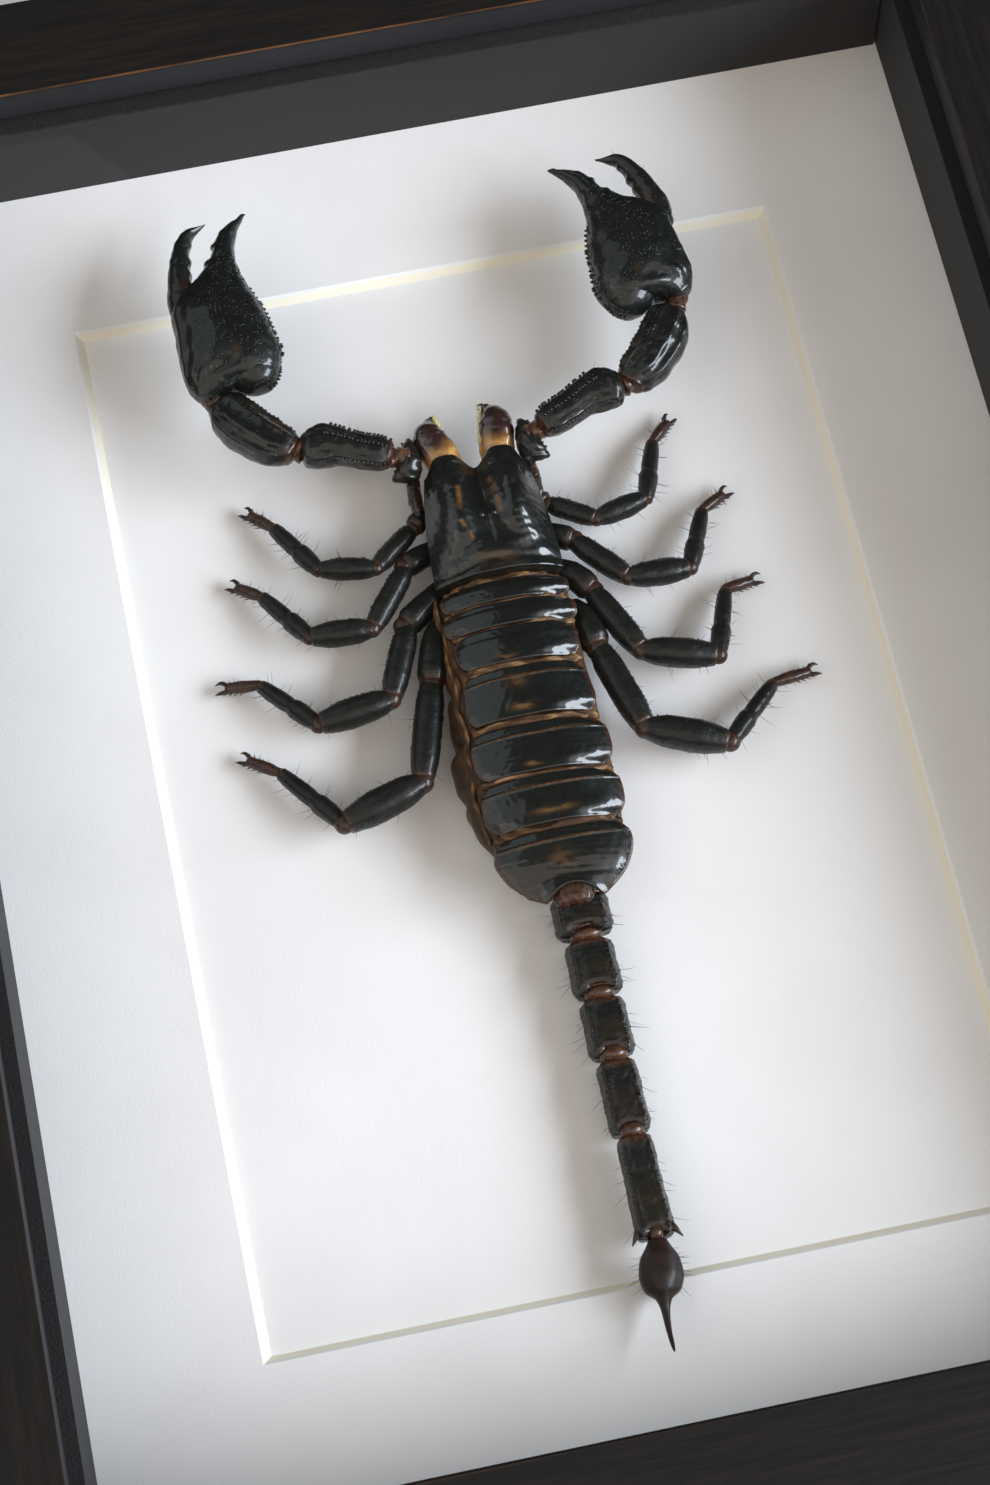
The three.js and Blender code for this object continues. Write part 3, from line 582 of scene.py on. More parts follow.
def chitin(gloss, grain=0.03, tinge=(0.003, 0.0055, 0.0047, 1), pocks=0):
    """Black shell: its tints add brown skin, warm red and dust, and gloss goes from 0 to 1."""
    coat = 0.1 + 0.7 * gloss

    def surface(field):
        skin = field.tint("skin")
        warm = field.tint("warm")
        dust = field.tint("dust")
        clouds = field.noise(2.4, detail=4)
        pits = field.noise(0.45, detail=3)
        specks = field.noise(0.5, detail=4)
        smears = field.noise(1.2, stretch=(2, 1, 1))
        black = clouds.step(0.35, 0.7).blend((0.0013, 0.0026, 0.0021, 1), tinge)
        red = specks.mottle((0.014, 0.0055, 0.003, 1), (0.07, 0.022, 0.008, 1))
        brown = specks.mottle((0.05, 0.02, 0.007, 1), (0.22, 0.1, 0.035, 1))
        stained = (dust * smears.step(0.3, 0.6)).blend(black, (0.14, 0.068, 0.018, 1))
        height = pits * 0.7 + specks * 0.3
        if pocks:
            height = height - field.noise(0.9, detail=1).step(0.6, 0.7) * pocks
        return {
            "Base Color": skin.blend(warm.blend(stained, red), brown),
            "Roughness": (0.38 - 0.1 * gloss) + pits * 0.22 + skin * 0.1 + dust * 0.1,
            "Specular IOR Level": 0.3,
            "Coat Weight": coat + warm * (0.55 - coat),
            "Coat Roughness": 0.1 - 0.015 * gloss,
            "Normal": height.bump(grain),
        }

    return surface


def knob(middle, across, along, high, **tint):
    """A smooth rounded lump with its long way along Y."""
    x, y, z = middle
    rings = [(share, across, high) for share in (0.49, 0.51)]
    return Tube([(x, y + along, z), (x, y - along, z)], rings, 18, 24, 2).part(**tint)


CARAPACE_REAR = 20.7
CARAPACE_HALF_WIDTH = 8.7
CARAPACE_RIM = 7
CARAPACE_UNDERSIDE = 0.6
EYE_KNOB = (0.25, 28.7)
plate_chitin = finish("black_chitin_glossy", chitin(1.0))
across = np.sin(np.linspace(-1, 1, 111) * math.pi / 2)[None, :]
along = np.linspace(0, 1, 100)[:, None]
front_edge = 37.5 + 2.0 * ramp(np.abs(across), 0.02, 0.4) - 2.3 * ramp(np.abs(across), 0.62, 1.0) ** 2
side_x = across * (CARAPACE_HALF_WIDTH - 1.7 * along**2.2)
side_y = CARAPACE_REAR + (front_edge - CARAPACE_REAR) * along
crown = 3.9 * (1 - np.abs(across) ** 2.6) * (1 - 0.62 * along**3) * (1 - 0.26 * (1 - along) ** 2.5)
furrow = 0.8 * bell(side_x, 0, 1.8) * ramp(along, 0.15, 0.7)
flat = sheet(side_x + BODY_X, side_y, 0)
from_knob = np.hypot(flat[..., 0] - EYE_KNOB[0], (flat[..., 1] - EYE_KNOB[1]) * 0.7)
wrinkles = swells(flat * (0.55, 1.1, 1), 2.4, 11)
rear_line = 22.1 + 0.35 * np.cos(side_x * 0.5) + 0.25 * swells(flat, 5, 4)
relief = (
    0.6 * bell(from_knob, 0, 1.0)
    - 0.14 * bell(side_x, 0, 0.35) * ramp(along, 0.2, 0.3)
    - 0.22 * bell(side_y, rear_line, 0.5)
    - 0.28 * streak(flat, (-1.6, 26.3), (-4.6, 22.9), 1.3)
    - 0.28 * streak(flat, (2.0, 26.3), (4.6, 22.9), 1.3)
    + 1.7 * bell(np.abs(side_x), 4.5, 2.7) * ramp(along, 0.06, 0.55) * (1 - 0.5 * ramp(along, 0.7, 1))
    + 0.035 * swells(flat, 0.9, 7) * bell(side_x, 4.7, 1.8) * bell(side_y, 26, 2.4)
    + 0.25 * bell(np.hypot(flat[..., 0] - 3.9, flat[..., 1] - 33.3), 0, 0.9)
    - 0.14 * bell(np.abs(side_x), 2.3, 0.6) * bell(side_y, 31, 3.5)
    + 0.12 * wrinkles * bell(side_y, 22.8, 1.9)
    + 0.05 * swells(flat, 2.8, 5)
    + 0.045 * swells(flat, 1.1, 6) * ramp(np.abs(side_x), 0.5, 2)
)
carapace_top = sheet(side_x + BODY_X, side_y, CARAPACE_RIM + crown - furrow + relief)
under_y = CARAPACE_REAR + (front_edge - 1.5 - CARAPACE_REAR) * along
carapace_bottom = sheet(side_x * 0.8 + BODY_X, under_y, CARAPACE_UNDERSIDE)
stain = (
    streak(flat, (-2.94, 33.2), (-3.23, 30.1), 0.32)
    + streak(flat, (-3.5, 28.1), (-2.4, 25.8), 0.22)
    + streak(flat, (1.6, 34.3), (2.15, 28.7), 0.36)
    + 0.35 * bell(side_x, 0, 2.6) * bell(side_y, 22.3, 0.9)
)
tints = (0, 0, stain)
carapace_parts = [shield(carapace_top, carapace_bottom, 0.35, tints, (0.2, 0.6, 0), steps=14)]
for side in (-1, 1):
    eye_x = EYE_KNOB[0] + side * 0.85
    nearest = np.hypot(flat[..., 0] - eye_x, flat[..., 1] - EYE_KNOB[1]).argmin()
    eye = (eye_x, EYE_KNOB[1], carapace_top[..., 2].flat[nearest])
    carapace_parts.append(knob(eye, 0.4, 0.42, 0.4, warm=0.15))
add_piece("carapace", carapace_parts, plate_chitin)


# Back plates: seven thin glossy shields across the abdomen, each with a low band along its front.
# Dust has settled in brown patches on their middles, and the last one narrows towards the tail.
PLATE_THICKNESS = 0.9
RIM_GRAINS = 90
# Rows: front and rear edge along Y, half width at the front, middle and rear, scoop of the rear edge,
# fall towards the sides.
PLATES = (
    (19.1, 16.5, 8.5, 8.5, 8.4, 0, 2.2),
    (15.6, 12.7, 8.7, 8.8, 8.7, 0, 2.2),
    (11.9, 7.3, 8.2, 8.1, 7.8, 0, 2.2),
    (6, -0.8, 7.9, 8.3, 8.7, 0, 2.2),
    (-2.4, -8.7, 8.6, 9, 8.8, 0, 2.2),
    (-9.8, -16, 8.8, 9.1, 8.7, 0, 2.2),
    (-17.4, -26.2, 8.5, 8.2, 4.3, 1.8, 1.3),
)
# Rows: places of the dust patches, with their half length across and along the plate and their strength.
DUST_PATCHES = (
    (-1.7, 7.9, 1.0, 0.4, 1.2),
    (-0.9, 0.4, 1.3, 0.5, 1.3),
    (-1.2, 4, 1.2, 0.8, 0.6),
    (-1.2, -7.9, 1.0, 0.3, 1.1),
    (0, -14.6, 2.2, 0.4, 1.1),
    (-0.6, -21.4, 1.5, 1.3, 0.45),
)
for number, (front, rear, front_half, middle_half, rear_half, scoop, fall) in enumerate(PLATES, start=1):
    length = front - rear
    across = np.sin(np.linspace(-1, 1, 97) * math.pi / 2)[None, :]
    forward = np.linspace(0, 1, int(24 + 4 * length))[:, None]
    back = 1 - forward
    half = front_half + (rear_half - front_half) * back
    half = half + 4 * back * forward * (middle_half - (front_half + rear_half) / 2)
    half = half * (1 - 0.13 * np.abs(2 * forward - 1) ** 4)
    x = across * half
    rear_edge = rear + scoop * (1 - across**2)
    y = front + (rear_edge - front) * back
    x, y = np.broadcast_arrays(x, y)
    flat = sheet(x + BODY_X, y, 0)
    behind_front = front - y
    before_rear = y - rear_edge
    band = 1.2 if number > 2 else 0.7
    ridged = number > 3
    relief = (
        -(0.24 if ridged else 0.1) * (1 - ramp(behind_front, band - 0.25, band + 0.2))
        + 0.15 * bell(behind_front, band + 0.1, 0.17) * ridged
        - (0.06 + 0.34 * ramp(x, 1.5, 5.5)) * (1 - ramp(before_rear, 0, 1.4)) ** 2
        - 0.05 * bell(np.abs(x), 5.4, 1.2) * bell(forward, 0.5, 0.15)
        + 0.025 * swells(flat, 3.2, 20 + number)
        + 0.02 * swells(flat, 0.9, 30 + number)
    )
    dome = crest(y) + 0.3 + PLATE_THICKNESS - fall * np.abs(across) ** 2.6
    level = np.maximum(dome, abdomen_top(x, y) + 0.3 + PLATE_THICKNESS * (1 - 0.4 * across**4))
    top = sheet(x + BODY_X, y, level + relief)
    bottom = top - (0, 0, PLATE_THICKNESS * 0.8)
    patches = sum(
        strength * bell(flat[..., 0], px, wide) * bell(flat[..., 1], py, deep)
        for px, py, wide, deep, strength in DUST_PATCHES
    )
    rim_brown = 0.6 * ramp(np.abs(across), 0.93, 1)
    waver = 0.12 * swells(flat, 5, 70 + number)
    # A pale brown line along the front ridge, partly a painted highlight on that ridge.
    pale_ridge_and_glint = 0.85 * bell(behind_front + waver, band, 0.16) * (1 - bell(np.abs(x), 9, 3)) * ridged
    tints = (pale_ridge_and_glint, rim_brown, patches)
    parts = [shield(top, bottom, 0.3, tints, rim_tint=(0.1, 0.6, 0))]
    if number == len(PLATES):
        random = np.random.default_rng(39)
        rows = random.integers(6, len(top) - 8, RIM_GRAINS)
        columns = random.integers(84, 96, RIM_GRAINS)
        parts.append(studs(top[rows, columns], np.tile(UP, (RIM_GRAINS, 1)), 0.13, 0.09, 0.2))
    add_piece(f"back_plate_{number}", parts, plate_chitin)


# Tail: five squarish segments with keels along their upper edges, set one into the next.
# A glossy brown knob of skin shows at each joint, and the last segment ends in two spurs.
TAIL_X = 0.7
KEEL_ANGLES = (0.86, math.pi - 0.86)
SIDE_KEEL_ANGLES = (0.12, math.pi - 0.12)
# The spurs' middle line, as steps outwards, forwards and upwards from the rear end.
SPUR_WAY = ((-0.8, 1.7, 0.8), (0, 0.5, 0.9), (0.8, -0.7, 0.8))
# Rows: neck end, shoulder and rear end along Y, half width at the shoulder and at the rear,
# half height and middle height.
TAIL = (
    (-24.9, -25.8, -30.5, 3.75, 3.75, 2.8, 4.3),
    (-30.8, -31.8, -38.4, 3.15, 3.25, 2.65, 3.4),
    (-38.7, -39.7, -46.8, 2.9, 2.95, 2.5, 3),
    (-47.1, -48.2, -57.2, 2.6, 2.6, 2.4, 3.1),
    (-57.5, -58.4, -71.2, 2.25, 2.45, 2.2, 3.7),
)
DULL_TINGE = (0.006, 0.0068, 0.005, 1)
tail_chitin = finish("black_chitin_satin", chitin(0.45, grain=0.09, tinge=DULL_TINGE))


def bristles(tube, count, shares, angles, lengths, lean, seed):
    """Hairs on a tube at random places within ranges of shares and angles, leaning along it."""
    random = np.random.default_rng(seed)
    places, ways = tube.spots(random.uniform(*shares, count), random.uniform(*angles, count))
    ahead = unit(tube.ends[1] - tube.ends[0])
    ways = ways + ahead * lean + random.normal(scale=0.18, size=ways.shape)
    return hairs(places, ways, random.uniform(*lengths, count))


def side_bristles(tube, count, shares, low, high, lengths, lean, seed):
    """The same bristles on both sides of a tube, between two angles on its right and as far on its left."""
    both = ((low, high), (math.pi - high, math.pi - low))
    return [bristles(tube, count, shares, angles, lengths, lean, seed) for angles in both]


for number, (neck, shoulder, rear, shoulder_half, rear_half, high, level) in enumerate(TAIL, start=1):
    length = neck - rear
    rings = [
        ((neck - y) / length, half, tall)
        for y, half, tall in (
            (neck - 0.1, shoulder_half * 0.62, high * 0.62),
            (shoulder + 0.45, shoulder_half * 0.74, high * 0.74),
            (shoulder - 0.1, shoulder_half * 0.99, high * 0.92),
            ((shoulder + rear) / 2, (shoulder_half + rear_half) * 0.49, high),
            (rear + 0.9, rear_half, high * 1.04),
            (rear + 0.12, rear_half * 0.9, high * 0.92),
        )
    ]
    random = np.random.default_rng(30 + number)
    middle_line = [(TAIL_X, neck, level), (TAIL_X, rear, level)]
    segment = Tube(middle_line, rings, rows=70, sides=56, squareness=2.7)
    s, a = segment.s, segment.a
    neck_share = (neck - shoulder) / length
    body = ramp(s, neck_share, neck_share + 0.1)
    keels = bells(a, KEEL_ANGLES, 0.12)
    side_keels = bells(a, SIDE_KEEL_ANGLES, 0.1)
    notch = bell(a, math.pi / 2, 0.42) * ramp(s, 1 - 1.5 / length, 1 - 0.3 / length)
    segment.raise_by(
        body * (0.25 * keels * (1 + 0.06 * np.sin(s * length * 9)) + 0.12 * side_keels)
        - body * 0.13 * bell(a, math.pi / 2, 0.45)
        - 0.5 * notch
        + 0.06 * swells(segment.points, 1.6, 40 + number)
        + 0.06 * swells(segment.points, 0.7, 45 + number)
    )
    joint_red = 0.8 * notch + 0.9 * (1 - body)
    parts = [segment.part(warm=joint_red, dust=0.08 * bell(s, 0.7, 0.25))]
    count = int(length * 3.2)
    for angle in KEEL_ANGLES:
        shares = np.linspace(neck_share + 0.06, 0.95, count) + random.uniform(-0.03, 0.03, count)
        places, normals = segment.spots(shares, angle + random.uniform(-0.14, 0.14, count))
        widths = random.uniform(0.1, 0.22, count)
        parts.append(studs(places, normals, widths, random.uniform(0.06, 0.18, count)))
    if number == 1:
        socket_line = [(-2.7, -25.7, 6.6), (0.2, -25.4, 7), (3, -25.7, 6.6)]
        socket = Tube(socket_line, [(share, 1.5, 1.7, 1.3, 1.3) for share in (0.3, 0.7)])
        socket.raise_by(0.2 * swells(socket.points * (1.6, 0.4, 0.4), 1.6, 47))
        parts.append(socket.part(warm=1))
    else:
        joint = (TAIL_X, neck + 0.1, level + high * 0.45)
        parts.append(knob(joint, shoulder_half * 0.7, 1.0, high * 0.6, warm=1, skin=0.2))
    if number == len(TAIL):
        for way in (-1, 1):
            spur_line = [
                (TAIL_X + way * (rear_half + aside), rear + ahead, level + above)
                for aside, ahead, above in SPUR_WAY
            ]
            spur = Tube(spur_line, [(0.1, 0.55), (0.5, 0.42), (0.9, 0.12)], rows=14, sides=10)
            parts.append(spur.part(warm=0.7 * spur.s))
        parts.append(knob((TAIL_X, rear + 0.3, level + 1.2), 0.9, 0.9, 0.9, warm=0.8, skin=0.2))
    parts += side_bristles(segment, 5, (0.25, 0.9), -0.5, 0.6, (1.4, 3.2), 0.5, 60 + number)
    add_piece(f"tail_segment_{number}", parts, tail_chitin)


# Stinger: a smooth dark red bulb, flattened on top, that runs out into a thin curved sting.
# Short hairs stand around the bulb.
def red_chitin(field):
    clouds = field.noise(1.6)
    pits = field.noise(0.25, detail=2)
    return {
        "Base Color": clouds.mottle((0.007, 0.0035, 0.003, 1), (0.018, 0.006, 0.004, 1)),
        "Roughness": 0.44 + pits * 0.16,
        "Specular IOR Level": 0.35,
        "Coat Weight": 0.1,
        "Coat Roughness": 0.2,
        "Normal": pits.bump(0.05),
    }


stinger = Tube(
    line=[(TAIL_X, -71.5, 4.4), (0.2, -76, 4.4), (-0.2, -79.5, 4.4), (-0.5, -83.1, 5), (-0.6, -86.3, 6.8)],
    rings=[
        (0.02, 1.2, 1.2, 1.2),
        (0.08, 1.7, 1.6, 1.7),
        (0.17, 2.5, 2.1, 2.4),
        (0.3, 2.8, 2.2, 2.7),
        (0.42, 2.3, 1.8, 2.3),
        (0.5, 1, 1.2, 1.3),
        (0.6, 0.55, 0.6, 0.7),
        (0.8, 0.32, 0.35, 0.35),
    ],
    rows=110,
    sides=44,
)
bulb = ramp(stinger.s, 0.05, 0.2) * (1 - ramp(stinger.s, 0.4, 0.55))
grooves = bells(stinger.a, (0.75, math.pi - 0.75), 0.2)
ridge = bell(stinger.a, math.pi / 2, 0.3) * bell(stinger.s, 0.4, 0.1)
stinger.raise_by(-0.16 * grooves * bulb + 0.2 * ridge)
stinger_parts = [stinger.part(warm=0.3)]
stinger_parts += side_bristles(stinger, 12, (0.08, 0.46), -0.9, 0.9, (1.0, 2.2), 0.4, 71)
add_piece("stinger", stinger_parts, finish("red_chitin", red_chitin))


# Jaws: two stout blocks under the front of the carapace, amber at the root and dark red at the tip.
# Each ends in two hooked fingers, with a fringe of pale yellow hairs along its inner edge.
def amber_chitin(field):
    depth = field.tint("warm")
    pale = field.tint("skin")
    clouds = field.noise(1.2)
    amber = clouds.mottle((0.3, 0.12, 0.022, 1), (0.5, 0.27, 0.07, 1))
    maroon = clouds.mottle((0.016, 0.006, 0.005, 1), (0.034, 0.011, 0.008, 1))
    return {
        "Base Color": pale.blend(depth.blend(amber, maroon), (0.62, 0.56, 0.24, 1)),
        "Roughness": 0.26 + clouds * 0.1 + pale * 0.3,
        "Coat Weight": 0.9,
        "Coat Roughness": 0.06,
        "Normal": field.noise(0.5).bump(0.03),
    }


amber = finish("amber_chitin", amber_chitin)
JAW_HEIGHTS = (5.4, 6.4, 7.0, 6.6)
JAW_RINGS = (
    (0.04, 2, 1.5, 2),
    (0.35, 2.5, 1.8, 2.3),
    (0.62, 2.45, 1.9, 2.3),
    (0.8, 1.8, 1.5, 1.9),
    (0.93, 0.7, 0.8, 1),
)
HOOK_RINGS = ((0.1, 0.6), (0.55, 0.4), (0.93, 0.1))
FRINGE_HEIGHT = 7.0
FRINGE_RINGS = ((0.1, 0.25, 0.5, 0.6), (0.5, 0.45, 0.6, 0.7), (0.9, 0.2, 0.4, 0.5))
FRINGE_HAIRS = 170
# Points from the hidden root to the tip, then the start and end of the fringe along the inner edge.
JAWS = (
    ("left", ((-2.8, 37.6), (-3.8, 40.8), (-4.9, 43.9), (-4.4, 46.6)), ((-3.2, 44.4), (-3.8, 46.5))),
    ("right", ((3.7, 37.6), (4.0, 41), (4.4, 44.2), (3.5, 47.2)), ((1.8, 41.2), (2.9, 46.8))),
)
for name, points, fringe_ends in JAWS:
    line = [(*point, height) for point, height in zip(points, JAW_HEIGHTS)]
    block = Tube(line, JAW_RINGS, rows=70, sides=44)
    block.raise_by(0.06 * swells(block.points, 1.6, 81) - 0.12 * bell(block.s, 0.62, 0.03))
    parts = [block.part(warm=ramp(block.s + 0.03 * np.sin(block.a * 5), 0.3, 0.54))]
    inward = 1 if name == "left" else -1
    tip = np.array(line[-1])
    for reach, drop in ((0.2, 0.0), (-0.6, 1.1)):
        hook_line = [
            tip + (-0.5 * inward * reach, -1.5, -drop),
            tip + (0.3 * inward, 0.1, -drop),
            tip + (1.0 * inward, 0.35, -drop - 0.2),
        ]
        parts.append(Tube(hook_line, HOOK_RINGS, rows=26, sides=16).part(warm=1))
    start, end = (np.array((*point, FRINGE_HEIGHT)) for point in fringe_ends)
    parts.append(Tube([start, (start + end) / 2, end], FRINGE_RINGS, rows=30, sides=14).part(skin=1))
    random = np.random.default_rng(83)
    feet = start + (end - start) * random.uniform(0, 1, (FRINGE_HAIRS, 1))
    feet = feet + random.normal(scale=(0.05, 0.05, 0.3), size=feet.shape)
    ways = unit(end - start) * 0.8 + (inward * 0.6, 0, 0) + random.normal(scale=0.25, size=feet.shape)
    strands = hairs(feet, ways, random.uniform(0.4, 0.8, FRINGE_HAIRS), 0.06, 0)
    strands[2][0] = strands[2][0] + 1
    parts.append(strands)
    add_piece(f"jaw_{name}", parts, amber)

# Pincer arms: shoulder, upper arm, forearm, hand and movable finger, each side in its own pose.
# Rows of granules stand on the upper arms, keels on the forearms and blunt teeth along the hands.
# Ring tables are for the left arm: the right arm swaps left and right.
ARM_HEIGHT = 9.2
SHOULDER_HEIGHT = 7.4
HAND_HEIGHT = 10.3
SHOULDER_RINGS = (
    (0.05, 0.5, 0.7, 0.9, 1.4),
    (0.3, 1.1, 1.9, 1.7, 2),
    (0.6, 1.3, 2.1, 2, 2.2),
    (0.8, 1.2, 2.6, 1.7, 2),
    (0.92, 0.8, 2.9, 0.9, 1.3),
)
UPPER_ARM_RINGS = (
    (0.04, 1.8, 1.7, 1.6, 1.7),
    (0.16, 2.3, 1.9, 2.1, 2.2),
    (0.42, 2.3, 2, 2.2, 2.4),
    (0.62, 2.5, 2.4, 2.4, 2.5),
    (0.74, 2.7, 3.1, 2.5, 2.5),
    (0.86, 2.7, 2.6, 2.4, 2.3),
    (0.93, 2.4, 2.2, 2.1, 2.1),
)
FOREARM_RINGS = (
    (0.05, 2.4, 1.8, 2, 1.9),
    (0.14, 3.3, 2.1, 2.5, 2.3),
    (0.32, 4.1, 2.3, 2.9, 2.6),
    (0.55, 4.2, 2.6, 3, 2.7),
    (0.78, 3.6, 3, 2.8, 2.6),
    (0.92, 2.4, 2.6, 2.2, 2.1),
    (0.98, 1.5, 1.6, 1.5, 1.5),
)
HAND_RINGS = (
    (0.012, 1.5, 1.5, 1.5, 1.5),
    (0.05, 2.6, 2.6, 2.6, 2.4),
    (0.09, 3.4, 4.2, 3.4, 2.8),
    (0.15, 4.2, 8.2, 4, 3.6),
    (0.21, 4.9, 9.4, 4.4, 4),
    (0.29, 5.7, 9.2, 4.6, 4.2),
    (0.4, 6.9, 7.4, 4.4, 4.1),
    (0.5, 6.3, 5.6, 3.8, 3.6),
    (0.6, 4.9, 3, 3, 3),
    (0.68, 3.9, 1.2, 2.4, 2.4),
    (0.75, 3.4, 0.1, 2, 2),
    (0.83, 3.4, -0.6, 1.6, 1.6),
    (0.91, 2.5, -0.7, 1.2, 1.2),
    (0.97, 1.1, -0.3, 0.6, 0.6),
)
# Middle lines, as shares of the hand's length along it and millimetres across it.
HEEL_WAY = ((0.42, 3), (0.3, 4.6), (0.18, 5.4), (0.07, 5.5))
FINGER_WAY = ((0.38, -4.2), (0.48, -5.8), (0.6, -7), (0.73, -7.7), (0.84, -7.4), (0.92, -5.3))
HEEL_RINGS = ((0.1, 2, 2, 2.6), (0.42, 3.8, 3.5, 3.4), (0.68, 4, 3.5, 3.2))
FINGER_RINGS = (
    (0.05, 2, 2),
    (0.2, 2.1, 2.1),
    (0.4, 1.65, 1.9),
    (0.62, 1.3, 1.5),
    (0.83, 0.85, 1),
    (0.94, 0.34, 0.4),
    (0.985, 0.12, 0.15),
)
HIP_RINGS = ((0.1, 0.8, 1, 1.2), (0.5, 1, 1.2, 1.4), (0.9, 0.6, 0.8, 0.8))
# Blunt teeth on the inner edges of the fingers: share along the piece, half width and height.
HAND_BITES = ((0.7, 0.018, 0.5), (0.8, 0.014, 0.5), (0.88, 0.012, 0.25))
FINGER_BITES = ((0.46, 0.03, 0.25), (0.58, 0.035, 0.35), (0.75, 0.03, 0.2))
ARMS = (
    {
        "side": "left",
        "mirror": 1,
        "shoulder": ((-7.7, 43.6), (-7.9, 40.6), (-8.3, 37.3)),
        "hip": ((-8.2, 38.6), (-8.5, 35.5), (-8.4, 32.4)),
        "upper_arm": ((-10.3, 40.8), (-14.2, 42.3), (-18.4, 43.9), (-22.6, 44.1)),
        "forearm": ((-22.9, 44), (-32.9, 53.4)),
        "hand": ((-34, 53.8), (-23.3, 81.9)),
        "finger_shift": 0,
        "finger_reach": 1,
    },
    {
        "side": "right",
        "mirror": -1,
        "shoulder": ((7.7, 43.6), (7.8, 40.6), (7.8, 37)),
        "hip": ((7.8, 38.4), (7.9, 35.5), (8.2, 32)),
        "upper_arm": ((9.9, 41), (14, 42.7), (18.3, 44.5), (22.5, 44.8)),
        "forearm": ((22.8, 44.7), (32.4, 55)),
        "hand": ((33.9, 56.4), (19.5, 80)),
        "finger_shift": 0.9,
        "finger_reach": 0.96,
    },
)
arm_chitin = finish("black_chitin_grained", chitin(0.65, grain=0.07, pocks=1.2))


def bites(share, teeth):
    """How far a finger's blunt teeth stand out."""
    return sum(height * bell(share, place, width) for place, width, height in teeth)


def socket_skin(here, there, half, height, paleness=0.35):
    """A short creased sleeve of brown skin over a joint."""
    rings = ((0.12, half), (0.5, half * 0.9), (0.88, half))
    sleeve = Tube([(*here, height), (*there, height)], rings, rows=20, sides=24)
    wrinkles = swells(sleeve.points, 0.9, 87)
    sleeve.raise_by(0.16 * wrinkles)
    return sleeve.part(skin=paleness + 0.6 * wrinkles, warm=0.8)


